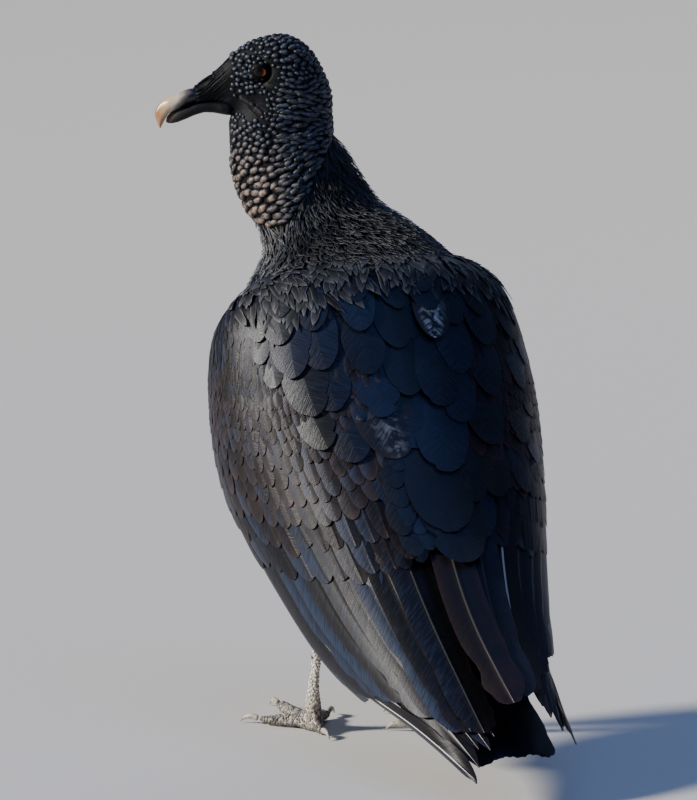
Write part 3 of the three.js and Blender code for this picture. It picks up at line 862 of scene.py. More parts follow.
def make_plumage(name, dark, light, brown, roughness, gloss, sheen, cover_shade, bump_mm):
    """A plumage material: barbs from dark to light, brown where worn (a pale grey painted sheen on the
    neck hackles), and painted shade where tucked in.
    """
    material, tree = new_material(name)
    here = add(tree, "ShaderNodeTexCoord").outputs["Object"]
    barb = add(tree, "ShaderNodeAttribute", attribute_name="barb").outputs["Vector"]
    barb = add(tree, "ShaderNodeSeparateXYZ", [barb]).outputs
    across, along, own = barb["X"], barb["Y"], barb["Z"]
    vane = add(tree, "ShaderNodeAttribute", attribute_name="vane").outputs["Vector"]
    vane = add(tree, "ShaderNodeSeparateXYZ", [vane]).outputs
    x, y, shaft = vane["X"], vane["Y"], vane["Z"]
    wear_and_sheen = add(tree, "ShaderNodeAttribute", attribute_name="wear_and_sheen").outputs["Fac"]
    aside = add(tree, "ShaderNodeMath", [x], operation="ABSOLUTE")
    # barbs: a noise stretched along lines that slant from the shaft towards the tip
    reach = add(tree, "ShaderNodeMath", [across], operation="ABSOLUTE")
    rung = add(tree, "ShaderNodeMath", [reach, -BARB_SLANT, along], operation="MULTIPLY_ADD")
    place_on_vane = add(tree, "ShaderNodeCombineXYZ", [
        add(tree, "ShaderNodeMath", [rung, STREAK_MM], operation="DIVIDE"),
        add(tree, "ShaderNodeMath", [reach, STREAK_MM * 7], operation="DIVIDE"),
        add(tree, "ShaderNodeMath", [own, 97.0], operation="MULTIPLY")])
    streak = add(tree, "ShaderNodeTexNoise", {"Vector": place_on_vane, "Scale": 1.0, "Detail": 3.0})
    lit = add(tree, "ShaderNodeMath", [streak, 1.5, -0.72], operation="MULTIPLY_ADD")
    lit = add(tree, "ShaderNodeMath", [own, 0.7, lit], operation="MULTIPLY_ADD")
    colour = add(tree, "ShaderNodeValToRGB", [lit], ((0.15, dark), (0.85, light)))
    # painted shade: the edge that the next feather covers is darkened, as it lies in that feather's shade
    tuck_shade = add(tree, "ShaderNodeMapRange", {
        "Value": x, "From Min": -0.75, "From Max": 0.3, "To Min": 0.0, "To Max": cover_shade})
    colour = add(tree, "ShaderNodeMix", [tuck_shade, colour, linear("#020203")], data_type="RGBA")
    # wear bleaches the rim, the tip and, in patches, the whole vane; with the neck hackles' pale grey wear
    # colour this is painted sheen instead
    patchy = add(tree, "ShaderNodeTexNoise", lumps(here, 14, 2.0))
    rim = add(tree, "ShaderNodeMath", [aside, 6.0], operation="POWER")
    end = add(tree, "ShaderNodeMath", [y, 9.0], operation="POWER")
    edge = add(tree, "ShaderNodeMath", [rim, end], operation="MAXIMUM")
    broad = add(tree, "ShaderNodeMath", [patchy, 1.6, -0.3], operation="MULTIPLY_ADD")
    edge = add(tree, "ShaderNodeMath", [edge, broad], operation="MULTIPLY")
    amount = add(tree, "ShaderNodeMath", [wear_and_sheen, 0.25], operation="ADD")
    edge = add(tree, "ShaderNodeMath", [edge, amount], operation="MULTIPLY")
    whole = add(tree, "ShaderNodeMath", [patchy, 0.5], operation="MULTIPLY")
    whole = add(tree, "ShaderNodeMath", [wear_and_sheen, whole], operation="MULTIPLY")
    edge = add(tree, "ShaderNodeMath", [edge, whole], operation="ADD", use_clamp=True)
    colour = add(tree, "ShaderNodeMix", [edge, colour, linear(brown)], data_type="RGBA")
    # a vane with more than full wear has a pale patch along its middle: frayed wear on one scapular, and a
    # painted highlight standing for a glossy sheen on another
    fray_and_highlight = add(tree, "ShaderNodeMath", [wear_and_sheen, 1.0], operation="SUBTRACT", use_clamp=True)
    threads = add(tree, "ShaderNodeMath", [streak, 5.0, -1.8], operation="MULTIPLY_ADD", use_clamp=True)
    pale = add(tree, "ShaderNodeMath", [fray_and_highlight, threads], operation="MULTIPLY")
    broken = add(tree, "ShaderNodeTexNoise", lumps(here, 6, 2.0))
    broken = add(tree, "ShaderNodeMath", [broken, 6.0, -2.6], operation="MULTIPLY_ADD", use_clamp=True)
    pale = add(tree, "ShaderNodeMath", [pale, broken], operation="MULTIPLY")
    inner = add(tree, "ShaderNodeMath", [aside, -1.2, 1.0], operation="MULTIPLY_ADD", use_clamp=True)
    pale = add(tree, "ShaderNodeMath", [pale, inner], operation="MULTIPLY")
    outer = add(tree, "ShaderNodeMapRange", {"Value": y, "From Min": 0.3, "From Max": 0.65})
    pale = add(tree, "ShaderNodeMath", [pale, outer], operation="MULTIPLY")
    colour = add(tree, "ShaderNodeMix", [pale, colour, linear("#b4bcc6")], data_type="RGBA")
    # the shaft shows white on a few feathers
    on_shaft = add(tree, "ShaderNodeMath", [aside, 0.06], operation="LESS_THAN")
    on_shaft = add(tree, "ShaderNodeMath", [on_shaft, shaft], operation="MULTIPLY")
    colour = add(tree, "ShaderNodeMix", [on_shaft, colour, linear("#d9d2c4")], data_type="RGBA")
    ripple = add(tree, "ShaderNodeMath", [rung, 2 * math.pi / RIPPLE_MM], operation="MULTIPLY")
    ripple = add(tree, "ShaderNodeMath", [ripple], operation="SINE")
    height = add(tree, "ShaderNodeMath", [ripple, 0.12, streak], operation="MULTIPLY_ADD")
    bump = add(tree, "ShaderNodeBump", {"Height": height, "Distance": bump_mm * MM})
    rough = add(tree, "ShaderNodeMath", [streak, 0.2, roughness - 0.1], operation="MULTIPLY_ADD")
    shader = add(tree, "ShaderNodeBsdfPrincipled", {
        "Base Color": colour,
        "Roughness": rough,
        "Specular IOR Level": gloss,
        "Sheen Weight": sheen,
        "Sheen Roughness": 0.45,
        "Sheen Tint": linear("#8fb0ea"),
        "Normal": bump,
    })
    add(tree, "ShaderNodeOutputMaterial", {"Surface": shader})
    return material


# painted reflection: the feathers are black, and the blue in these colours stands for blue sky reflected
# in them
body_plumage = make_plumage("blue_black_contour_feather", "#020409", "#0d1930", "#1a1619",
                            roughness=0.4, gloss=0.3, sheen=0.04, cover_shade=0.0, bump_mm=0.16)
wing_plumage = make_plumage("grey_sheen_wing_feather", "#030509", "#26344a", "#3b2f2c",
                            roughness=0.42, gloss=0.2, sheen=0.03, cover_shade=0.92, bump_mm=0.12)
# painted shade: the right wing's plumage is a darker, bluer copy of the wing plumage, as that wing lies in
# shade; its reddish brown is the colour of its worn edges
shaded_wing_plumage = make_plumage("shaded_blue_black_wing_feather", "#02040a", "#101a30", "#361d1e",
                             roughness=0.42, gloss=0.2, sheen=0.03, cover_shade=0.9, bump_mm=0.12)
# painted sheen: the neck hackles' wear colour is a pale grey, which paints the sunlight caught on their
# rims, tips and some whole vanes
hair_plumage = make_plumage("dull_neck_hackle", "#040405", "#121316", "#d0d1d4",
                            roughness=0.5, gloss=0.2, sheen=0.04, cover_shade=0.0, bump_mm=0.1)
print("plumage for body, wings and neck")

# %% [markdown]
# ## The folded wing as a map
#
# A folded wing is a curved shell round the flank. Two numbers name a place on it, like a map:
# the distance along the line from shoulder to tail, in millimetres, and the angle round that
# line, in degrees, from the lower edge up over the back. Each feather tract is then a few rows
# on a flat map, and this function bends them to the true shell.

# %% Wing surface
LOW_EDGE = -34.0  # degrees, where the folded wing's lower edge lies
WING_NOSE, NOSE_LENGTH = -14, 30  # where the bend of the wing starts, and how far it rounds off
wing_low = profile((-14, -10), (0, -27), (15, -43), (51, -71), (88, -92), (123, -99), (173, -100),
                   (232, -94), (275, -80), (340, -46), (410, -9))
wing_crest = profile((-14, 40), (10, 72), (30, 84), (50, 83), (90, 71), (120, 60), (187, 39),
                     (246, 23), (311, 12), (400, 4))
wing_high = profile((-14, 24), (10, 44), (50, 58), (90, 66), (130, 72), (200, 78), (260, 82))
left_out = profile((-14, 90), (15, 110), (51, 117), (88, 117), (123, 112), (173, 102), (232, 90),
                   (275, 79), (340, 62), (410, 48))
right_out = profile((-14, 88), (15, 107), (51, 115), (88, 117), (140, 110), (200, 94), (275, 67),
                    (340, 41), (410, 20))
right_rise = profile((150, 0), (410, 34))
right_inward = profile((100, 0), (220, 8), (300, 10), (410, 6))
LEFT, RIGHT = 1, -1


def wing_point(side, along, degrees):
    low, crest = wing_low(along), wing_crest(along)
    sin_low = math.sin(math.radians(LOW_EDGE))
    half = (crest - low) / (1 - sin_low)
    middle = low - half * sin_low
    angle = np.radians(degrees)
    # the bend of the wing is blunt, and narrower than the shell behind it
    blunt = 1 - np.clip((along - WING_NOSE) / NOSE_LENGTH, 0, 1)
    nose = 0.84 + 0.16 * np.sqrt(1 - blunt**2)
    out = (left_out if side == LEFT else right_out)(along) * np.cos(angle) * nose
    rise = 0.0
    if side == RIGHT:
        rise = right_rise(along)
        out = out - right_inward(along) * (degrees - LOW_EDGE) / (wing_high(along) - LOW_EDGE)
    over = middle + half * np.sin(angle) + rise
    return SHOULDER + (along[..., None] * ALONG + over[..., None] * DORSAL
                       + side * out[..., None] * LEFTWARD) * MM


def wing_surface(side, along, degrees):
    """Points of the wing's outer face, the way out of it, and millimetres in a degree."""
    here = wing_point(side, along, degrees)
    by_along = wing_point(side, along + 1, degrees) - here
    by_degree = wing_point(side, along, degrees + 1) - here
    out = unit(np.cross(by_degree, by_along) * -side)
    return here, out, np.linalg.norm(by_degree, axis=-1) / MM


flank, flank_out, _ = wing_surface(LEFT, np.array([120.0]), np.array([0.0]))
print("left flank at", np.round(flank[0], 3), "faces", np.round(flank_out[0], 2))

# %% [markdown]
# ## Laying feathers on the wing
#
# Wing feathers overlap in two ways. Each row covers the roots of the next row behind, as tiles
# do, so every vane rises a little from root to tip. Within a row, each feather tucks its upper
# edge under the one nearer the back, so every vane also tilts a little across. With both
# slopes the same for all, the vanes never need to be sorted.

# %% Lay vanes on the wing
SIDE_TILT = 0.075  # millimetres that a vane rises for each one towards its lower edge


def lay_on_wing(coat, side, root, tip, half_width, lift, outline, rows=7, columns=MEDIUM, camber=0.8,
                bend=0.0, tilt=SIDE_TILT, ragged=0.06, notches=1, thick=0.35, shaft=0.0, brown=0.3,
                ridge=0.3):
    """Roots and tips: along and degrees of each feather. lift: millimetres at root and tip."""
    root, tip = np.asarray(root, float), np.asarray(tip, float)
    n = len(root)
    half_width = np.broadcast_to(np.asarray(half_width, float), n)
    y = rows_along(rows)
    share = y[None, :]
    along = root[:, :1] + (tip - root)[:, :1] * share
    degrees = root[:, 1:] + (tip - root)[:, 1:] * share + bend * np.sin(np.pi * share)
    _, _, per_degree = wing_surface(side, along, degrees)
    run = np.gradient(along, axis=1)
    turn = np.gradient(degrees, axis=1) * per_degree
    length = np.hypot(run, turn)
    x = outline_grid(columns[None, None, :], np.broadcast_to(outline(y), (n, rows)), ragged, notches)
    across = x * half_width[:, None, None]
    along_all = along[..., None] - across * (turn / length)[..., None]
    degrees_all = degrees[..., None] + across * (run / length / per_degree)[..., None]
    surface, out, _ = wing_surface(side, along_all, degrees_all)
    wobble = dice.normal(0, 0.12, (n, 1, 1))
    height = lift[0] + (lift[1] - lift[0]) * y[None, :, None] ** 0.8 + wobble
    height = height + camber * (1 - columns**2)[None, None, :] * smoothstep(1.1, 0.5, y)[None, :, None]
    height = height - across * np.asarray(tilt, float).reshape(-1, 1, 1)
    if len(columns) > 5:
        height = height + ridge * (np.abs(columns) < 0.02)[None, None, :]
    total = np.sum(length, axis=1) * (rows - 1) / rows
    barb = (across, total[:, None, None] * y[None, :, None])
    coat.add(surface, out, height, columns[None, None, :], y, barb, thick=thick, shaft=shaft, brown=brown)


def lanes(start, end, spacing_mm, side, along):
    """Angles from one to the other, one feather's spacing apart at this distance along."""
    middle = np.array([(start + end) / 2.0])
    _, _, per_degree = wing_surface(side, np.array([float(along)]), middle)
    count = max(2, int(round(abs(end - start) * per_degree[0] / spacing_mm)))
    return start + (end - start) * (np.arange(count) + 0.5) / count


print("feathers can be laid on both wings")

# %% [markdown]
# ## Flight feathers
#
# The secondaries run nearly the whole length of the folded wing, side by side, each blunt and
# about 22 mm wide. The innermost are broader. The primaries fold away under them like a closed
# fan, and only their tips come out behind. The outermost lies free and shows its white shaft.

# %% Primaries and secondaries
# How far along the wing each feather ends, by its share of the way up from the lower edge.
primary_end = profile((0, 412), (0.2, 421), (0.45, 414), (0.75, 402), (1, 390))
secondary_end = profile((0, 283), (0.2, 294), (0.42, 321), (0.7, 364), (0.85, 378), (1, 374))
PRIMARY_ROOT = 190.0  # how far along the wing the primaries come out from under it
# The wings' inner edges: the right wing's feathers cross the back and lie over the left's.
ROOT_EDGE = {LEFT: 74, RIGHT: 104}
ROOT_BIAS = {LEFT: 1.0, RIGHT: 1.25}
INNER_EDGE = {LEFT: profile((0, 84), (120, 82), (187, 74), (246, 70), (311, 70), (400, 66)),
              RIGHT: profile((0, 92), (120, 98), (187, 110), (246, 114), (311, 116), (400, 118))}


def angle_at(side, share, along):
    return LOW_EDGE + share * (INNER_EDGE[side](along) - LOW_EDGE)


def add_primaries(coat, side):
    root_share = np.array([0.2, 0.31, 0.42, 0.52, 0.6])
    tip_share = np.array([0.6, 0.7, 0.8, 0.9, 0.98])
    end = primary_end(tip_share) - np.array([14, 4, 14, 6, 12])
    root = np.stack([np.full(5, PRIMARY_ROOT), angle_at(LEFT, root_share, PRIMARY_ROOT)], -1)
    tip = np.stack([end, angle_at(LEFT, tip_share, end)], -1)
    white = 0.5 if side == LEFT else 0.1
    lay_on_wing(coat, side, root, tip, 11.5, (-9.0, -2.6), long_outline, rows=20, columns=BROAD,
                tilt=0.1, camber=0.4, thick=0.5, shaft=white, brown=0.3, notches=2)
    # the outermost primary lies free along the wing's lower edge and shows its white shaft
    end = primary_end(0.12) - 4
    root = [[PRIMARY_ROOT, angle_at(LEFT, 0.02, PRIMARY_ROOT)]]
    tip = [[end, angle_at(LEFT, 0.48, end)]]
    white = 1.0 if side == LEFT else 0.1
    lay_on_wing(coat, side, root, tip, 9.5, (-7.0, 0.8), long_outline, rows=28, columns=BROAD,
                tilt=0.02, bend=-9.0, camber=0.4, thick=0.5, shaft=white, brown=0.2, ragged=0.03)


def add_secondaries(coat, side):
    share = np.array([0.035, 0.1, 0.17, 0.245, 0.32, 0.4, 0.48, 0.56, 0.64, 0.72, 0.81, 0.91])
    end = secondary_end(share) + np.array([0, 3, -2, 3, -1, 2, -2, 4, -3, 2, -4, -2])
    start = 100.0 + 45 * share
    root = np.stack([start, LOW_EDGE + share ** ROOT_BIAS[side] * (ROOT_EDGE[side] - LOW_EDGE)], -1)
    tip = np.stack([end, angle_at(side, share, end)], -1)
    half = np.interp(share, [0, 0.7, 0.8, 1], [11, 11.5, 14, 15.5])
    shaft = np.where((share > 0.7) & (share < 0.75) & (side == RIGHT), 0.6, 0.04)
    wear_and_sheen = np.where((share > 0.88) & (side == RIGHT), 0.24, 0.15)
    lay_on_wing(coat, side, root, tip, half, (-6.0, -0.8), blunt_outline, rows=24, columns=BROAD,
                tilt=0.2, camber=0.4, thick=0.6, shaft=shaft, brown=wear_and_sheen, notches=4, ragged=0.05,
                ridge=0.35)


wing_coats = {LEFT: Coat("left_wing_feathers"), RIGHT: Coat("right_wing_feathers")}
tip_coats = {LEFT: Coat("left_primary_feathers"), RIGHT: Coat("right_primary_feathers")}
for side in (LEFT, RIGHT):
    add_primaries(tip_coats[side], side)
    add_secondaries(wing_coats[side], side)
print("flight feathers laid on both wings")

# %% [markdown]
# ## Wing coverts
#
# Coverts hide the roots of the flight feathers. The greater coverts are the longest row. In
# front of them come rows of median coverts, rounded and brown at the rim, then many rows of
# lesser coverts, which are so small near the wing's front edge that they look like streaks.

# %% Coverts
# How far along the wing the greater coverts end, by the angle in degrees.
greater_tip = profile((-34, 120), (-15, 148), (0, 172), (20, 204), (40, 222), (60, 222), (80, 212))


def add_coverts(coat, side):
    # greater coverts, in two layers
    for shift, lift, spacing, half in ((14, (-3.6, -1.2), 13.0, 10.5), (-12, (-2.8, -0.5), 12.0, 9.5)):
        angle = lanes(LOW_EDGE + 1, 76, spacing, side, 180)
        end = greater_tip(angle) + shift + dice.uniform(-5, 5, len(angle))
        root = np.stack([end - 78, angle + 1], -1)
        tip = np.stack([end, angle + dice.uniform(-1, 1, len(angle))], -1)
        lay_on_wing(coat, side, root, tip, half, lift, round_outline, rows=12, columns=BROAD,
                    camber=0.5, brown=dice.uniform(0, 0.5, len(angle)), ridge=0.12, ragged=0.04,
                    tilt=0.1)
    # median and lesser coverts: rows march forward, and each row's feathers are smaller
    back, size = -32.0, 1.0
    while size > 0.33:
        half, length, spacing = 7.4 * size, 44 * size, 10.8 * size
        angle = lanes(LOW_EDGE, 74, spacing, side, 120) + dice.uniform(-0.8, 0.8)
        end = greater_tip(angle) + back + dice.uniform(-3, 3, len(angle)) * size
        angle = angle + dice.uniform(-1.2, 1.2, len(angle))
        keep = (end > 0) & (end - length * 0.6 > -12)
        root = np.stack([end - length, angle + 1.5], -1)[keep]
        tip = np.stack([end, angle], -1)[keep]
        wear_and_sheen = dice.uniform(0.4, 0.98, len(root))
        lay_on_wing(coat, side, root, tip, half, (-2.8 * size - 0.4, 0.5), round_outline, rows=8,
                    camber=0.35 * size, brown=wear_and_sheen, ragged=0.05, notches=0, tilt=0.07)
        back -= 16.5 * size
        size *= 0.88
    # the small feathers of the wing's front edge, down to its bend
    front = []
    for along in np.arange(-12.0, 150.0, 5.2):
        angle = lanes(LOW_EDGE, 62, 4.6, side, along + 10) + dice.uniform(-1, 1)
        angle = angle[along < greater_tip(angle) + back + 14]
        n = len(angle)
        front.append(np.stack([along + dice.uniform(-2, 2, n), angle + dice.uniform(-1, 1, n)], -1))
    front = np.concatenate(front)
    n = len(front)
    run = np.stack([dice.uniform(18, 28, n), dice.uniform(-4, 3, n) - 1], -1)
    lay_on_wing(coat, side, front, front + run, dice.uniform(1.8, 3.0, n), (-1.0, 0.0),
                round_outline, rows=5, columns=NARROW, camber=0.12, brown=dice.uniform(0, 0.6, n),
                ragged=0.12, notches=0, tilt=0.05)


for side in (LEFT, RIGHT):
    add_coverts(wing_coats[side], side)
print("wing feathers:", [coat.vanes for coat in wing_coats.values()])

# %% [markdown]
# ## Scapulars
#
# The scapulars are the broad round feathers of the back. They grow over the shoulder blades and
# lie over the wings' upper edges like big scales, up to 48 mm wide. They hang in columns, and
# the middle column of the right side crosses the back and hides the left wing's inner edge.
# A plain layer lies under them, so that no skin shows where two of them part. Over the
# shoulders lie loose narrow feathers, where the hackles of the neck turn into scapulars.

# %% Scapulars and mantle
back_coat = Coat("scapular_feathers")
# The half widths of the one frayed scapular and of the one with a painted highlight. No other has these.
PALE_HALF, GLOSSY_HALF = 14.5, 21.0
# Each column: its side, its height over the wing, and its feathers' tips from the shoulder
# down, as along, degrees and half width in millimetres.
SCAPULARS = (
    (LEFT, 2.2, ((64, 86, 11), (92, 84, 13), (124, 82, 15), (160, 80, 15), (198, 76, 15))),
    (LEFT, 2.8, ((54, 72, 11), (76, 71, 13), (104, 71, 15), (134, 72, 17), (167, 72, GLOSSY_HALF),
                 (206, 68, 15))),
    (LEFT, 2.4, ((46, 58, 11), (66, 57, 13), (92, 57, 15), (122, 57, 17), (159, 57, 17))),
    (LEFT, 3.2, ((44, 45, 12), (64, 44, 14), (88, 46, 16), (116, 48, 17), (140, 47, 14))),
    (LEFT, 2.0, ((52, 34, 8), (68, 34, 9), (86, 36, 10))),
    (RIGHT, 1.8, ((56, 34, 10), (84, 36, 12), (122, 38, 13), (158, 36, 13))),
    (RIGHT, 2.4, ((48, 46, 10), (76, 46, 12), (108, 46, 14), (150, 48, 15), (190, 48, 14))),
    (RIGHT, 3.0, ((50, 60, 10), (68, 62, 12), (90, 63, 15), (122, 64, 16), (160, 65, 18), (202, 66, 17))),
    (RIGHT, 2.6, ((52, 73, 11), (76, 74, 13), (110, 75, 15), (148, 77, 17), (206, 79, 18), (236, 80, 18))),
    (RIGHT, 3.8, ((54, 84, 12), (70, 84, 14), (88, 84, PALE_HALF), (136, 86, 18.5), (183, 88, 20.5),
                  (232, 92, 24), (258, 91, 23))),
)
for side, top, feathers in SCAPULARS:
    tip = np.array(feathers, float)[:, :2]
    half = np.array(feathers, float)[:, 2]
    tip = tip + np.stack([dice.uniform(-2, 2, len(tip)), dice.uniform(-1, 1, len(tip))], -1)
    root = tip - np.stack([half * 3.4, dice.uniform(-3, 3, len(tip)) + 1], -1)
    wear_and_sheen = np.where(half == PALE_HALF, 1.95, dice.uniform(0, 0.3, len(tip)))
    # painted highlight: the glossy scapular gets more than full wear, so its pale bluish patch stands for
    # a sheen
    wear_and_sheen = np.where(half == GLOSSY_HALF, 1.2, wear_and_sheen)
    lay_on_wing(back_coat, side, root, tip, half, (-3.0, top - 0.6), oval_outline, rows=16,
                columns=BROAD, camber=0.3, tilt=0.03, brown=wear_and_sheen, ragged=0.04, ridge=0.0)
# the plain layer under them
for along in np.arange(6.0, 250.0, 13.0):
    for side in (LEFT, RIGHT):
        start = np.interp(along, (6, 60), (16, 40))
        angle = lanes(start, INNER_EDGE[side](along) + 2, 11.0, side, along) + dice.uniform(-2, 2)
        tip = np.stack([along + dice.uniform(-4, 4, len(angle)), angle], -1)
        root = tip - np.stack([np.full(len(tip), 32.0), dice.uniform(-4, 4, len(tip))], -1)
        lay_on_wing(back_coat, side, root, tip, 8.5, (-4.0, -1.4), oval_outline, rows=6, camber=0.4,
                    tilt=0.03, brown=0.1, notches=0, ragged=0.1)
# the loose narrow feathers of the shoulders
mantle_coat = Coat("mantle_feathers")
for along in np.arange(-3.0, 50.0, 6.0):
    for side in (LEFT, RIGHT):
        angle = lanes(22 + along * 0.35, 94, 6.5, side, along + 10) + dice.uniform(-3, 3)
        n = len(angle)
        angle = angle + dice.uniform(-3, 3, n)
        tip = np.stack([along + 10 + dice.uniform(-7, 7, n), angle], -1)
        root = tip - np.stack([dice.uniform(24, 34, n), dice.uniform(-10, 10, n)], -1)
        # painted light: on the left, sunlit side only, the lower shoulder feathers are paled a little
        pale = dice.uniform(0, 0.12, n) * smoothstep(70, 30, angle) * (side == LEFT)
        lay_on_wing(mantle_coat, side, root, tip, dice.uniform(2.2, 4, n), (-2.4, 2.4), long_outline,
                    rows=9, camber=0.5, tilt=dice.uniform(-0.1, 0.16, n), brown=pale, notches=3,
                    ragged=0.3)
print("scapulars:", back_coat.vanes, "mantle feathers:", mantle_coat.vanes)

# %% [markdown]
# ## The lie of the coat
#
# Body feathers follow the body: down the neck, back over the shoulders, down the breast and
# the thighs. A few named places say which way the feathers point there, in the bird's own
# directions, and every other place takes a weighted mean of them. This is what a groomer does
# with a comb, and it needs no more than these lines.

# %% Lie of the body feathers
# Each line: a place (forward, left, up) and the way the feathers lie there (same order).
LIE = (
    ((40, 0, 400), (-0.5, 0.0, -1.0)),     # nape
    ((10, 0, 350), (-0.8, 0.0, -1.0)),     # hind neck
    ((-20, 0, 310), (-1.0, 0.0, -0.5)),    # mantle
    ((-90, 0, 240), (-1.0, 0.0, -0.8)),    # back
    ((-130, 0, 160), (-1.0, 0.0, -0.9)),   # rump
    ((60, 45, 370), (-0.55, 0.5, -1.0)),   # side of the neck
    ((60, -45, 370), (-0.55, -0.5, -1.0)),
    ((95, 30, 345), (-0.1, 0.3, -1.0)),    # front of the neck
    ((95, -30, 345), (-0.1, -0.3, -1.0)),
    ((70, 80, 310), (-0.9, 0.5, -0.8)),    # shoulder
    ((70, -80, 310), (-0.9, -0.5, -0.8)),
    ((110, 0, 270), (0.1, 0.0, -1.0)),     # breast
    ((80, 70, 240), (-0.6, 0.3, -1.0)),    # side of the breast
    ((80, -70, 240), (-0.6, -0.3, -1.0)),
    ((40, 0, 160), (-1.0, 0.0, -0.4)),     # belly
    ((-60, 0, 110), (-1.0, 0.0, -0.3)),    # under the tail
    ((20, 60, 150), (-0.5, 0.1, -1.0)),    # thigh
    ((20, -60, 150), (-0.5, -0.1, -1.0)),
)
lie_places = np.array([place(*at) for at, _ in LIE])
lie_ways = unit(np.array([(way[1], -way[0], way[2]) for _, way in LIE]))


def lie_of(points, reach=45 * MM):
    """Which way feathers lie at these points, before it is made to follow the surface."""
    distance = np.linalg.norm(points[:, None] - lie_places[None], axis=2)
    weight = np.exp(-((distance / reach) ** 2)) + 1e-9 / (distance**2 + 1e-6)
    return unit(np.einsum("np,pk->nk", weight, lie_ways))


def on_skin(points):
    """The nearest points of the skin, with its smoothed normals there."""
    found = [skin_tree.find_nearest(point) for point in points]
    return np.array([hit[0] for hit in found]), np.array([hit[1] for hit in found])


def scatter(mask, spacing_mm):
    """Roots spread over the skin at least a spacing apart. Both are functions of the points."""
    faces = np.array([face.center for face in skin_mesh.polygons])
    areas = np.array([face.area for face in skin_mesh.polygons])
    allowed = mask(faces)
    faces, areas = faces[allowed], areas[allowed]
    near = spacing_mm(faces) * MM
    wanted = int(np.sum(areas / near**2) * 10) + 1
    chosen = dice.choice(len(faces), wanted, p=areas / areas.sum())
    points = faces[chosen] + dice.normal(0, 0.6 * MM, (wanted, 3))
    near = near[chosen]
    cell = near.max()
    taken, kept = {}, []
    for index, (point, gap) in enumerate(zip(points, near)):
        key = tuple((point // cell).astype(int))
        around = [taken.get((key[0] + i, key[1] + j, key[2] + k), ())
                  for i in (-1, 0, 1) for j in (-1, 0, 1) for k in (-1, 0, 1)]
        if all(np.sum((point - points[other]) ** 2) > gap * gap for some in around for other in some):
            taken.setdefault(key, []).append(index)
            kept.append(index)
    return points[kept]


print("lie of the coat set by", len(LIE), "places")

# %% [markdown]
# ## Laying feathers on the body
#
# Each body feather starts at its root and creeps over the skin along the lie, one row of points
# at a time, and each row spreads to both sides. Between rows it is set back on the surface, so
# even a long vane hugs the curve of the breast.

# %% Lay vanes on the body


def lay_on_body(coat, roots, length, half_width, lift, outline, rows=5, columns=NARROW, camber=0.8,
                stray=0.12, ragged=0.1, notches=1, thick=0.3, brown=0.2, curl=0.0):
    """Roots on the skin, sizes in millimetres, lift at root and tip. curl bends the vanes."""
    n = len(roots)
    length = np.broadcast_to(np.asarray(length, float), n)
    half_width = np.broadcast_to(np.asarray(half_width, float), n)
    y = rows_along(rows)
    at, normal = on_skin(roots)
    turn = dice.normal(0, stray, n)
    centre, ways, normals = [], [], []
    for k in range(rows):
        way = lie_of(at)
        way = unit(way - np.sum(way * normal, axis=1)[:, None] * normal)
        sideways = np.cross(normal, way)
        way = unit(way + sideways * (turn + curl * y[k])[:, None])
        centre.append(at)
        ways.append(np.cross(normal, way))
        normals.append(normal)
        if k + 1 < rows:
            at, found = on_skin(at + way * (length * (y[k + 1] - y[k]) * MM)[:, None])
            normal = unit(normal * 0.5 + found * 0.5)
    centre, ways, normals = (np.stack(part, axis=1) for part in (centre, ways, normals))
    x = outline_grid(columns[None, None, :], np.broadcast_to(outline(y), (n, rows)), ragged, notches)
    across = x * half_width[:, None, None]
    spread = centre[:, :, None] + ways[:, :, None] * (across * MM)[..., None]
    surface, _ = on_skin(spread.reshape(-1, 3))
    surface = surface.reshape(spread.shape) * 0.6 + spread * 0.4
    out = np.broadcast_to(normals[:, :, None], spread.shape)
    wobble = dice.normal(0, 0.25, (n, 1, 1))
    height = lift[0] + (lift[1] - lift[0]) * y[None, :, None] ** 0.9 + wobble
    height = height + camber * (1 - columns**2)[None, None, :]
    barb = (across, length[:, None, None] * y[None, :, None])
    coat.add(surface, out, height, columns[None, None, :], y, barb, thick=thick, brown=brown)


def in_bird_words(points):
    """Forward, left and up in millimetres, for masks."""
    offset = (points - place(0, 0, 0)) / MM
    return -offset[:, 1], offset[:, 0], offset[:, 2]


def by_the_wing(points):
    """Millimetres along the line from shoulder to tail, and above it."""
    offset = (points - SHOULDER) / MM
    return offset @ ALONG, offset @ DORSAL


print("feathers can be laid on the body")

# %% [markdown]
# ## Hackles, ruff and contour feathers
#
# The nape and the base of the neck carry short soft feathers that look like hair, because
# their barbs don't zip together. They stand out a little as a ruff. Lower down the feathers
# zip, and turn into the rounded vanes of the shoulders, breast and belly.

# %% Body feathers
neck_coat = Coat("neck_hackles")
body_coat = Coat("body_feathers")


def feathered(points):
    return bareness(points, 6) < 0.55


def is_neck(points):
    forward, left, up = in_bird_words(points)
    return feathered(points) & (up > 308 - 0.22 * np.abs(left)) & (forward > -24)


def is_body(points):
    _, left, up = in_bird_words(points)
    along, over = by_the_wing(points)
    on_top = over > wing_crest(along) - 30
    in_wing = (over > wing_low(along) - 12) & ((np.abs(left) > 56) | on_top) & (along > -6)
    leg = near_nodes(points, LEGS, 2) & (up < 92)
    return feathered(points) & ~is_neck(points) & ~in_wing & ~leg & (along < 330)


roots = scatter(is_neck, lambda p: 2.2 + 0 * p[:, 0])
forward, _, up = in_bird_words(roots)
low = smoothstep(350, 310, up)
front = smoothstep(30, 70, forward) * smoothstep(385, 360, up)
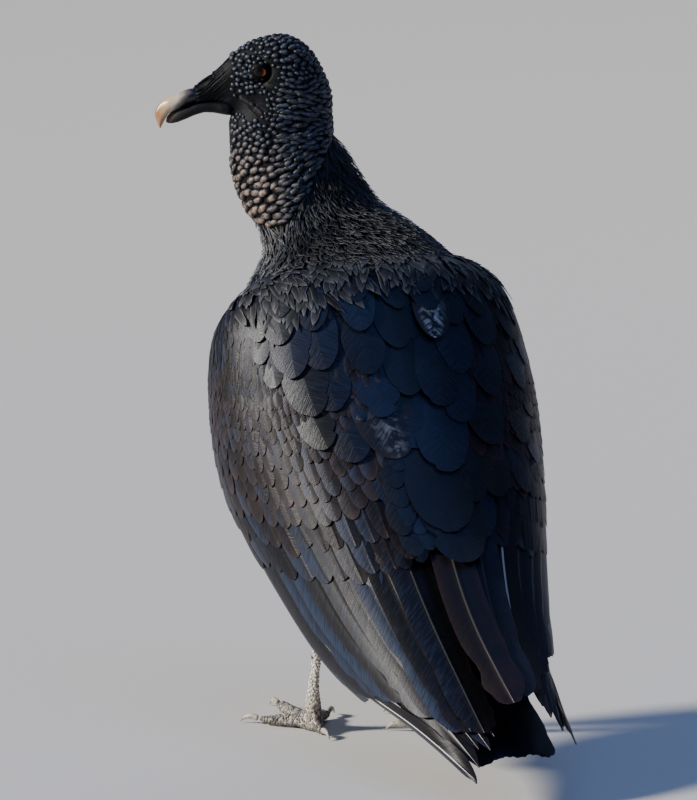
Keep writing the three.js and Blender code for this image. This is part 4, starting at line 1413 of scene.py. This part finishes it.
# painted sheen: hackles low and at the front of the neck are paled at random, where sunlight catches them
pale = np.maximum(low, front) * dice.uniform(0, 1, len(roots)) ** 1.3
length = 15 + 8 * low + dice.uniform(-4, 5, len(roots))
lay_on_body(neck_coat, roots, length, 0.8 + 0.7 * low, (-1.0, 3.8), hair_outline, camber=0.3,
            stray=0.4, ragged=0.35, notches=0, brown=pale, curl=0.5)

roots = scatter(is_body, lambda p: 8.5 + 0 * p[:, 0])
length = 27 + dice.uniform(-3, 4, len(roots))
lay_on_body(body_coat, roots, length, 8.2, (0.4, 5.2), round_outline, rows=6, columns=MEDIUM,
            camber=1.0, brown=dice.uniform(0, 0.3, len(roots)))
print("hackles:", neck_coat.vanes, "contour feathers:", body_coat.vanes)

# %% [markdown]
# ## Tail
#
# Twelve tail feathers lie in a stack, the middle pair on top, and end almost square. They lie
# on a flat sloping plane of their own, so they need no map.

# %% Tail feathers
tail_coat = Coat("tail_feathers")
TAIL_ROOT, TAIL_TIP = place(-96, 0, 132), place(-243, 2, 31)
tail_along = unit(TAIL_TIP - TAIL_ROOT)
tail_rise = np.cross(LEFTWARD, tail_along)
TAIL_LENGTH = np.linalg.norm(TAIL_TIP - TAIL_ROOT) / MM
TAIL_HALF = 11.0  # half the width of one feather
for rank in range(6):
    for side in (LEFT, RIGHT):
        y = rows_along(16)
        x = outline_grid(BROAD[None, None, :], blunt_outline(y)[None], 0.06, 3)
        middle = side * (rank + 0.45) * (2.9 + 1.5 * y[None, :, None]) + x * TAIL_HALF
        reach = (TAIL_LENGTH - 1.2 * rank + dice.uniform(-2, 2)) * y[None, :, None]
        surface = TAIL_ROOT + (reach[..., None] * tail_along + middle[..., None] * LEFTWARD) * MM
        height = 4 - 1.1 * rank - 9 * (middle / 34) ** 2 + 0.5 * (1 - BROAD**2)[None, None, :]
        out = np.broadcast_to(tail_rise, surface.shape)
        tail_coat.add(surface, out, height, BROAD[None, None, :], y, (x * TAIL_HALF, reach),
                      thick=0.5, brown=0.4)
print("tail rises towards", np.round(tail_rise, 2), "feathers:", tail_coat.vanes)

# %% [markdown]
# ## Pebbled skin, with Geometry Nodes
#
# Nodules on the hood and scales on the feet are the same shape again and again, so this is
# work for Geometry Nodes. The tree places a low dome on every point that it is given, turned to
# face out of the skin and stretched along its row. It then pushes the domes about with noise,
# so that no two are alike. The domes have few faces, since thousands are made. Instances are
# realized at the end, so that the result is one plain mesh.

# %% Build the pebble tree
PEBBLE_SEGMENTS, PEBBLE_RINGS = 8, 5


def build_pebble_tree():
    tree = bpy.data.node_groups.new("pebbles_on_points", "GeometryNodeTree")
    for name, way, kind in (("Points", "INPUT", "Geometry"), ("Unevenness", "INPUT", "Float"),
                            ("Unevenness scale", "INPUT", "Float"), ("Material", "INPUT", "Material"),
                            ("Pebbles", "OUTPUT", "Geometry")):
        tree.interface.new_socket(name, in_out=way, socket_type="NodeSocket" + kind)
    given = add(tree, "NodeGroupInput").outputs
    ball = add(tree, "GeometryNodeMeshUVSphere", [PEBBLE_SEGMENTS, PEBBLE_RINGS, 1.0])
    own_place = add(tree, "GeometryNodeInputPosition")
    marked = add(tree, "GeometryNodeStoreNamedAttribute", {
        "Geometry": ball, "Name": "on_pebble", "Value": own_place,
    }, data_type="FLOAT_VECTOR", domain="POINT")
    rounded = add(tree, "GeometryNodeSetShadeSmooth", [marked])
    facing, row_way, size = (
        add(tree, "GeometryNodeInputNamedAttribute", {"Name": name}, data_type="FLOAT_VECTOR")
        for name in ("facing", "row_way", "pebble_size"))
    turned = add(tree, "FunctionNodeAxesToRotation", [facing, row_way], primary_axis="Z",
                 secondary_axis="X")
    placed = add(tree, "GeometryNodeInstanceOnPoints", {
        "Points": given["Points"], "Instance": rounded, "Rotation": turned, "Scale": size})
    real = add(tree, "GeometryNodeRealizeInstances", [placed])
    noise = add(tree, "ShaderNodeTexNoise", {"Scale": given["Unevenness scale"], "Detail": 1.0})
    centred = add(tree, "ShaderNodeVectorMath", [noise.outputs["Color"], (0.5, 0.5, 0.5)],
                  operation="SUBTRACT")
    pushed = add(tree, "ShaderNodeVectorMath", {"Vector": centred, "Scale": given["Unevenness"]},
                 operation="SCALE")
    uneven = add(tree, "GeometryNodeSetPosition", {"Geometry": real, "Offset": pushed})
    finished = add(tree, "GeometryNodeSetMaterial", {
        "Geometry": uneven, "Material": given["Material"]})
    add(tree, "NodeGroupOutput", [finished])
    return tree


pebble_tree = build_pebble_tree()


def grow_pebbles(name, points, facing, row_way, size_mm, tone, material, uneven_mm, scale_mm):
    """Runs the tree on these points and returns the pebbles as one plain mesh object."""
    holder = mesh_object(name + "_points", points, np.empty((0, 4), int), material)
    store(holder.data, "facing", facing)
    store(holder.data, "row_way", row_way)
    store(holder.data, "pebble_size", size_mm * MM)
    store(holder.data, "own", dice.random(len(points)))
    store(holder.data, "tone", tone)
    patch = root_patches(points)
    store(holder.data, "patch", np.concatenate([patch, np.zeros((len(patch), 1))], axis=1))
    modifier = holder.modifiers.new("pebbles", "NODES")
    modifier.node_group = pebble_tree
    names = {item.name: item.identifier for item in pebble_tree.interface.items_tree}
    modifier[names["Unevenness"]] = uneven_mm * MM
    modifier[names["Unevenness scale"]] = 1 / (scale_mm * MM)
    modifier[names["Material"]] = material
    evaluated = holder.evaluated_get(bpy.context.evaluated_depsgraph_get())
    mesh = bpy.data.meshes.new_from_object(evaluated)
    bpy.data.objects.remove(holder)
    mesh.name = name
    made = add_object(name, mesh)
    patch = read(mesh.attributes["patch"].data, "vector", 3)[:, :2]
    local = read(mesh.attributes["on_pebble"].data, "vector", 3)[:, :2]
    uvs = patch + local * BAKE_PATCH / 2
    corners = read(mesh.loops, "vertex_index", 1, np.int32)[:, 0]
    for layer in list(mesh.uv_layers):
        mesh.uv_layers.remove(layer)
    mesh.uv_layers.new(name=BAKE_MAP).data.foreach_set("uv", uvs[corners].astype(np.float32).ravel())
    print(f"{name}: {len(points)} pebbles, {sum(len(f.vertices) - 2 for f in mesh.polygons)} triangles")
    return made


# %% [markdown]
# ## Nodules of the hood
#
# The nodules are small beads on the face, grow down the throat to 6 mm, and stretch into rows
# of long folds at the back of the neck. Skin round the eye and under the jaw is nearly smooth.
# They are keratinised skin, dark and matte. Their tops are painted paler as highlights: warm where
# sunlight falls low on the throat, bluish grey from the sky elsewhere.

# %% Grow the nodules
# Colours from the groove round a nodule to its top, whose paleness is a painted highlight: bluish from the
# sky on the face, warm from the sun low on the throat.
SKYLIT_NODULE = ((0.1, "#030304"), (0.45, "#12151b"), (0.78, "#4f5765"))
SUNLIT_NODULE = ((0.1, "#050404"), (0.42, "#2f2825"), (0.74, "#ad8f78"))


def make_nodule_material():
    material, tree = new_material("keratinised_nodule")
    here = add(tree, "ShaderNodeTexCoord").outputs["Object"]
    on_pebble = add(tree, "ShaderNodeAttribute", attribute_name="on_pebble").outputs["Vector"]
    height = add(tree, "ShaderNodeSeparateXYZ", [on_pebble]).outputs["Z"]
    own = add(tree, "ShaderNodeAttribute", attribute_name="own").outputs["Fac"]
    tone = add(tree, "ShaderNodeAttribute", attribute_name="tone").outputs["Fac"]
    mottle = add(tree, "ShaderNodeTexNoise", lumps(here, 2.2, 3.0))
    top = add(tree, "ShaderNodeMath", [height, 0.75, -0.5], operation="MULTIPLY_ADD")
    top = add(tree, "ShaderNodeMath", [mottle, 0.8, top], operation="MULTIPLY_ADD")
    dark = add(tree, "ShaderNodeValToRGB", [top], SKYLIT_NODULE)
    warm = add(tree, "ShaderNodeValToRGB", [top], SUNLIT_NODULE)
    share = add(tree, "ShaderNodeMath", [own, 0.5, 0.5], operation="MULTIPLY_ADD")
    share = add(tree, "ShaderNodeMath", [tone, share], operation="MULTIPLY")
    colour = add(tree, "ShaderNodeMix", [share, dark, warm], data_type="RGBA")
    rough = add(tree, "ShaderNodeMath", [mottle, 0.25, 0.36], operation="MULTIPLY_ADD")
    grain = add(tree, "ShaderNodeTexNoise", lumps(here, 0.7, 2.0))
    bump = add(tree, "ShaderNodeBump", {"Height": grain, "Distance": 0.2 * MM})
    shader = add(tree, "ShaderNodeBsdfPrincipled", {
        "Base Color": colour, "Roughness": rough, "Specular IOR Level": 0.4, "Normal": bump})
    add(tree, "ShaderNodeOutputMaterial", {"Surface": shader})
    return material


def nodule_region(points):
    """Where nodules grow, how smooth the skin is there, and their width and length."""
    ahead, up, side = on_head(points)
    radial = np.hypot(ahead, up)
    throat = smoothstep(-24, -95, up) * smoothstep(-22, -6, ahead)
    rear = smoothstep(-8, -20, ahead) * smoothstep(0, -18, up)
    crown_rear = smoothstep(-4, -16, ahead) * smoothstep(2, 10, up)
    forehead = smoothstep(4, 12, ahead) * smoothstep(0, 8, up)
    wide = 3.3 + 2.6 * throat + 0.6 * rear + 0.9 * crown_rear + 0.5 * forehead
    long = wide * (1.15 + 0.5 * throat + 1.3 * rear + 0.3 * crown_rear)
    on_side = np.abs(side) > 6
    below_mouth = np.exp(-(((ahead - 8) / 13) ** 2 + ((up + 24) / 9) ** 4))
    smooth_patch = (hill(ahead, up, (-8, -3), (7.5, 10)) + below_mouth) * on_side
    away = (radial > 5.8) | ~on_side
    for start, end in zip(MOUTH_CORNER, MOUTH_CORNER[1:]):
        away &= distance_to_line(ahead, up, start, end) > 3.2
    on_cere = ahead > 19.5
    return away & ~on_cere, smooth_patch, wide, long


def nodule_mask(points):
    away, smooth_patch, _, _ = nodule_region(points)
    return away & (bareness(points) > 0.4) & (smooth_patch < 0.45)


def nodule_gap(points):
    _, smooth_patch, wide, _ = nodule_region(points)
    return wide * 0.93 + 0.6 * smooth_patch


nodule_roots = scatter(nodule_mask, nodule_gap)
nodule_at, nodule_facing = on_skin(nodule_roots)
_, smooth_patch, wide, long = nodule_region(nodule_at)
shrink = (1 - 0.55 * smooth_patch) * dice.uniform(0.85, 1.12, len(nodule_at))
level = unit(np.cross(nodule_facing, UP) + 1e-6)
ahead, up, side = on_head(nodule_at)
slant = -0.5 * np.sign(side) * smoothstep(-30, -60, up)
slant = (slant + dice.normal(0, 0.28, len(level)))[:, None]
nodule_rows = unit(level - slant * np.cross(nodule_facing, level))
nodule_size = np.stack([long * shrink * 0.6, wide * shrink * 0.56, wide * shrink * 0.46], -1)
# painted light: nodules low on the throat take the warm, sunlit highlight colours
sunlit_warmth = smoothstep(-38, -85, up) * smoothstep(-24, -4, ahead)
nodules = grow_pebbles("hood_nodules", nodule_at, nodule_facing, nodule_rows, nodule_size, sunlit_warmth,
                       make_nodule_material(), uneven_mm=1.25, scale_mm=2.8)
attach(nodules, "root")

# %% [markdown]
# ## Scales of the legs
#
# The shanks are covered in small pebbly scales, whitish with dust and droppings. Along the top
# of each toe they widen into short cross plates.

# %% Grow the scales
DUSTY_SCALE = ((0.25, "#4d4b4c"), (0.5, "#8f897f"), (0.75, "#cfc7b8"), (1.0, "#ece6da"))


def make_scale_material():
    material, tree = new_material("dusty_leg_scale")
    here = add(tree, "ShaderNodeTexCoord").outputs["Object"]
    on_pebble = add(tree, "ShaderNodeAttribute", attribute_name="on_pebble").outputs["Vector"]
    height = add(tree, "ShaderNodeSeparateXYZ", [on_pebble]).outputs["Z"]
    own = add(tree, "ShaderNodeAttribute", attribute_name="own").outputs["Fac"]
    tone = add(tree, "ShaderNodeAttribute", attribute_name="tone").outputs["Fac"]
    patchy = add(tree, "ShaderNodeTexNoise", lumps(here, 9, 3.0))
    pale = add(tree, "ShaderNodeMath", [patchy, 0.85], operation="MULTIPLY")
    pale = add(tree, "ShaderNodeMath", [own, 0.22, pale], operation="MULTIPLY_ADD")
    pale = add(tree, "ShaderNodeMath", [pale, tone], operation="ADD")
    colour = add(tree, "ShaderNodeValToRGB", [pale], DUSTY_SCALE)
    groove = add(tree, "ShaderNodeValToRGB", [height], ((0.0, "#5c554c"), (0.55, "#ffffff")))
    colour = add(tree, "ShaderNodeMix", [1.0, colour, groove], data_type="RGBA", blend_type="MULTIPLY")
    grain = add(tree, "ShaderNodeTexNoise", lumps(here, 0.6, 2.0))
    bump = add(tree, "ShaderNodeBump", {"Height": grain, "Distance": 0.15 * MM})
    shader = add(tree, "ShaderNodeBsdfPrincipled", {
        "Base Color": colour, "Roughness": 0.62, "Specular IOR Level": 0.35, "Normal": bump})
    add(tree, "ShaderNodeOutputMaterial", {"Surface": shader})
    return material


def leg_mask(points):
    return on_legs(points) & (points[:, 2] > 1.2 * MM)  # no scales grow under the soles


scale_roots = scatter(leg_mask, lambda points: 2.1 + 0 * points[:, 0])
scale_at, scale_facing = on_skin(scale_roots)
on_shank = scale_at[:, 2] > 0.02
level = unit(np.cross(scale_facing, np.where(on_shank[:, None], UP, BILLWARD)) + 1e-6)
on_top = smoothstep(0.4, 0.9, scale_facing[:, 2]) * ~on_shank
across = 1.25 + 0.9 * on_top
scale_size = np.stack([across, np.full(len(across), 1.2), np.full(len(across), 0.55)], -1)
scale_size *= dice.uniform(0.85, 1.15, (len(across), 1))
paleness = 0.45 * smoothstep(0.012, 0.03, scale_at[:, 2]) - 0.12  # dust lies thickest on the shanks
leg_scales = grow_pebbles("leg_scales", scale_at, scale_facing, level, scale_size, paleness,
                          make_scale_material(), uneven_mm=0.25, scale_mm=1.8)
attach(leg_scales, "root")

# %% [markdown]
# ## Bill and claws
#
# The horn of the bill is keratin over bone: ivory where it is thick, more amber at its hooked
# tip. It is copied from the frame, remeshed finely and smoothed, and its rear end is pushed
# into the soft cere. The claws are made the same way, of duller, dusty horn.

# %% Horn parts


def smooth_copy(name, node, voxel_mm, times, material):
    """A smooth mesh object from a copy of one CAD node."""
    mesh = voxel_remesh(joined_copy([node], 0.15 * MM), voxel_mm * MM)
    smooth(mesh, np.full(len(mesh.vertices), 0.5), times)
    mesh.name = name
    mesh.shade_smooth()
    mesh.materials.clear()
    mesh.materials.append(material)
    return add_object(name, mesh)


def make_horn(name, colours, roughness, gloss):
    """Keratin horn. colours: (millimetres ahead of the eyes, hex) from the head to the tip."""
    material, tree = new_material(name)
    here = add(tree, "ShaderNodeTexCoord").outputs["Object"]
    ahead = add(tree, "ShaderNodeAttribute", attribute_name="ahead").outputs["Fac"]
    streak = add(tree, "ShaderNodeTexNoise", lumps(here, 3, 4.0))
    first, last = colours[0][0], colours[-1][0]
    along = add(tree, "ShaderNodeMath", [streak, 5.0, ahead], operation="MULTIPLY_ADD")
    along = add(tree, "ShaderNodeMapRange", {"Value": along, "From Min": first, "From Max": last})
    stops = [((at - first) / (last - first), colour) for at, colour in colours]
    colour = add(tree, "ShaderNodeValToRGB", [along], stops)
    bump = add(tree, "ShaderNodeBump", {"Height": streak, "Distance": 0.2 * MM})
    shader = add(tree, "ShaderNodeBsdfPrincipled", {
        "Base Color": colour, "Roughness": roughness, "Specular IOR Level": gloss, "Normal": bump})
    add(tree, "ShaderNodeOutputMaterial", {"Surface": shader})
    return material


def make_claw_horn():
    material, tree = new_material("worn_claw_horn")
    here = add(tree, "ShaderNodeTexCoord").outputs["Object"]
    patch = add(tree, "ShaderNodeTexNoise", lumps(here, 4, 3.0))
    colour = add(tree, "ShaderNodeValToRGB", [patch], ((0.3, "#6e675d"), (0.7, "#c9bfae")))
    bump = add(tree, "ShaderNodeBump", {"Height": patch, "Distance": 0.1 * MM})
    shader = add(tree, "ShaderNodeBsdfPrincipled", {
        "Base Color": colour, "Roughness": 0.45, "Normal": bump})
    add(tree, "ShaderNodeOutputMaterial", {"Surface": shader})
    return material


horn = make_horn("ivory_bill_horn", (
    (42, "#0b0c0d"), (50, "#1a1b1e"), (55, "#6d6860"), (60, "#bfb39c"), (68, "#c0a27a"),
    (76, "#9a6034")), roughness=0.3, gloss=0.5)
dark_horn = make_horn("slate_lower_bill_horn", (
    (28, "#08090a"), (50, "#0f0f10"), (60, "#25221f"), (68, "#5b4e40")), roughness=0.5, gloss=0.2)
claw_horn = make_claw_horn()


def finish_bill(piece, node, push, pinch, raise_top):
    """Pushes the rear into the soft skin, draws it in there, and raises the upper face."""
    points, normals = points_of(piece.data), normals_of(piece.data)
    ahead, up, side = on_head(points)
    start = ahead.min()
    rear = 1 - smoothstep(start, start + 13, ahead)
    points = points + UP * (raise_top * np.clip(normals @ UP, 0, 1) * MM)[:, None]
    middle = np.median(up[ahead < start + 4])
    inward = SIDE * side[:, None] + UP * (up - middle)[:, None]
    points = points - inward * (pinch * rear * MM)[:, None]
    points = points - BILLWARD * (push * (1 - smoothstep(start, start + 6, ahead)) * MM)[:, None]
    move_points(piece.data, points)
    ahead, up, _ = on_head(points)
    station = np.round(ahead - start + push).astype(int)
    ridge = np.full(station.max() + 1, -np.inf)
    np.maximum.at(ridge, station, up)
    # the sides stay dark further forward than the ridge does
    down_the_side = np.maximum(ridge[station] - up - 2.5, 0)
    store(piece.data, "ahead", ahead - 0.9 * down_the_side * smoothstep(68, 58, ahead))
    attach(piece, "root")
    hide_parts(node)
    print(piece.name, "from", round(ahead.min()), "to", round(ahead.max()), "mm ahead of the eyes")


upper_bill = smooth_copy("bill_upper", "upper_bill", 0.6, 6, horn)
finish_bill(upper_bill, "upper_bill", push=3.0, pinch=0.2, raise_top=0.0)
lower_bill = smooth_copy("bill_lower", "lower_bill", 0.6, 6, dark_horn)
finish_bill(lower_bill, "lower_bill", push=2.0, pinch=0.0, raise_top=2.6)
for digit in DIGITS:
    node = digit + "_claw"
    claw = smooth_copy(node + "_horn", node, 0.45, 3, claw_horn)
    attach(claw, "root")
    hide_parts(node)
print("claws:", len(DIGITS))

# %% [markdown]
# ## Eyes
#
# Each eye is a ball with a wet clear coat. A dark brown iris lies round the pupil, and its colours
# depend on the distance from the ball's axis. The clear cornea bends low sunlight onto one side
# of the iris, where it glows amber. That crescent is painted at the lower rear of each iris.

# %% Eyes
EYE_RINGS, EYE_SEGMENTS = 28, 40
PUPIL_MM, IRIS_MM = 2.5, 4.4
IRIS_SPAN = 6.0  # millimetres from the axis at the ramps' last stop
IRIS_STOPS = (PUPIL_MM / IRIS_SPAN, PUPIL_MM / IRIS_SPAN + 0.05,
              IRIS_MM / IRIS_SPAN - 0.06, IRIS_MM / IRIS_SPAN)
BROWN_IRIS = ("#020202", "#0c0604", "#1c0b05", "#050404")
AMBER_IRIS = ("#020202", "#8f3206", "#e06d1c", "#0a0605")


def make_eye_material():
    material, tree = new_material("wet_brown_eye")
    here = add(tree, "ShaderNodeTexCoord").outputs["Object"]
    reach = add(tree, "ShaderNodeAttribute", attribute_name="from_axis").outputs["Fac"]
    rear = add(tree, "ShaderNodeAttribute", attribute_name="rearward").outputs["Fac"]
    fibres = add(tree, "ShaderNodeTexNoise", lumps(here, 0.8, 4.0))
    reach = add(tree, "ShaderNodeMath", [fibres, 0.5, reach], operation="MULTIPLY_ADD")
    reach = add(tree, "ShaderNodeMath", [reach, IRIS_SPAN], operation="DIVIDE")
    brown = add(tree, "ShaderNodeValToRGB", [reach], zip(IRIS_STOPS, BROWN_IRIS))
    amber = add(tree, "ShaderNodeValToRGB", [reach], zip(IRIS_STOPS, AMBER_IRIS))
    colour = add(tree, "ShaderNodeMix", [rear, brown, amber], data_type="RGBA")
    shader = add(tree, "ShaderNodeBsdfPrincipled", {
        "Base Color": colour,
        "Roughness": 0.5,
        "Specular IOR Level": 0.1,
        "Coat Weight": 0.45,
        "Coat Roughness": 0.05,
        "Coat IOR": 1.33,
    })
    add(tree, "ShaderNodeOutputMaterial", {"Surface": shader})
    return material


def eyeball(name, centre, material):
    polar = np.linspace(0, np.pi, EYE_RINGS + 1)
    turn = np.linspace(0, 2 * np.pi, EYE_SEGMENTS, endpoint=False)
    rings = np.stack([
        np.outer(np.sin(polar), np.cos(turn)), np.outer(np.sin(polar), np.sin(turn)),
        np.outer(np.cos(polar), np.ones(EYE_SEGMENTS))], axis=-1)[1:-1].reshape(-1, 3)
    local = np.concatenate([rings, [[0, 0, 1], [0, 0, -1]]])
    faces = []
    for i in range(EYE_RINGS - 2):
        for k in range(EYE_SEGMENTS):
            after = (k + 1) % EYE_SEGMENTS
            faces.append([i * EYE_SEGMENTS + k, (i + 1) * EYE_SEGMENTS + k,
                          (i + 1) * EYE_SEGMENTS + after, i * EYE_SEGMENTS + after])
    top, bottom = len(rings), len(rings) + 1
    last = (EYE_RINGS - 2) * EYE_SEGMENTS
    for k in range(EYE_SEGMENTS):
        after = (k + 1) % EYE_SEGMENTS
        faces.append([top, k, after])
        faces.append([bottom, last + after, last + k])
    across = np.cross(UP, SIDE)
    points = centre + (local[:, :1] * across + local[:, 1:2] * UP + local[:, 2:] * SIDE) * EYE_RADIUS * MM
    if np.dot(np.cross(across, UP), SIDE) < 0:
        faces = [face[::-1] for face in faces]
    ball = mesh_object(name, points, faces, material)
    store(ball.data, "from_axis", np.hypot(local[:, 0], local[:, 1]) * EYE_RADIUS)
    ahead, up, _ = on_head(points)
    store(ball.data, "rearward", smoothstep(-1.0, -2.8, ahead) * smoothstep(3.0, 0.5, up))
    return ball


eye_material = make_eye_material()
for side, centre in (("left", left_eye_centre), ("right", right_eye_centre)):
    ball = eyeball(side + "_eyeball", centre, eye_material)
    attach(ball, "root")
    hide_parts(side + "_eye")
print("eyes", round(2 * EYE_RADIUS, 1), "mm across")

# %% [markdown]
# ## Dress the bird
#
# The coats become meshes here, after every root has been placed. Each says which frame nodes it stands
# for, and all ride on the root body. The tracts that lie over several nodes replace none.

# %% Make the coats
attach(skin, "root")
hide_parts(*FLESH)
wing_coats[LEFT].make(wing_plumage, "plumage", "left_wing")
wing_coats[RIGHT].make(shaded_wing_plumage, "plumage", "right_wing")
tip_coats[LEFT].make(wing_plumage, "plumage", "left_primaries")
tip_coats[RIGHT].make(shaded_wing_plumage, "plumage", "right_primaries")
tail_coat.make(body_plumage, "plumage", "tail")
back_coat.make(body_plumage, "plumage")
mantle_coat.make(hair_plumage, "plumage")
body_coat.make(body_plumage, "plumage")
neck_coat.make(hair_plumage, "plumage")

# %% [markdown]
# ## Floor and light
#
# The bird stands on a plain pale floor. A soft warm sun stands low on the side that the bird
# looks to. Three square lights help it: two cool ones, as from open sky, fill the shade, and a
# pale one from beyond the bird draws its rim. Black feathers need this, because they show little
# but what they reflect.

# %% Floor, lights and world
FLOOR_HALF = 30.0  # metres
floor_material, floor_tree = new_material("pale_studio_floor")
paint = add(floor_tree, "ShaderNodeBsdfPrincipled", {"Base Color": linear("#cfccc6"), "Roughness": 0.8})
add(floor_tree, "ShaderNodeOutputMaterial", {"Surface": paint})
floor_corners = np.array([(-1, -1, 0), (1, -1, 0), (1, 1, 0), (-1, 1, 0)]) * FLOOR_HALF
floor = mesh_object("floor", floor_corners, np.array([[0, 1, 2, 3]]), floor_material)
flat_view = unit(np.cross(image_right, UP))


def shine(name, kind, right, up, near, energy, colour):
    """A light this far right of the bird, above it and towards the camera, in metres."""
    lamp = bpy.data.lights.new(name, kind)
    lamp.energy = energy
    lamp.color = linear(colour)[:3]
    light = add_object(name, lamp)
    offset = image_right * right + UP * up + flat_view * near
    light.location = place(0, 0, 240) + offset
    light.rotation_euler = Vector(offset).to_track_quat("Z", "Y").to_euler()
    return lamp


shine("fill", "AREA", 2.2, 1.8, 2.4, 14, "#7da8ff").size = 2.0
shine("sky", "AREA", 0.3, 2.6, 1.0, 22, "#6f9cff").size = 2.4
shine("rim", "AREA", 0.6, 2.2, -2.2, 14, "#dbe6ff").size = 1.6
shine("key", "SUN", -0.87, 0.43, 0.16, 6.6, "#fffaf3").angle = math.radians(8)
world = bpy.data.worlds.new("studio")
world.use_nodes = True
world.node_tree.nodes.clear()
sky = add(world.node_tree, "ShaderNodeBackground", {"Color": linear("#8fb2ec"), "Strength": 0.15})
add(world.node_tree, "ShaderNodeOutputWorld", {"Surface": sky})
bpy.context.scene.world = world
print("four lights and a pale floor")
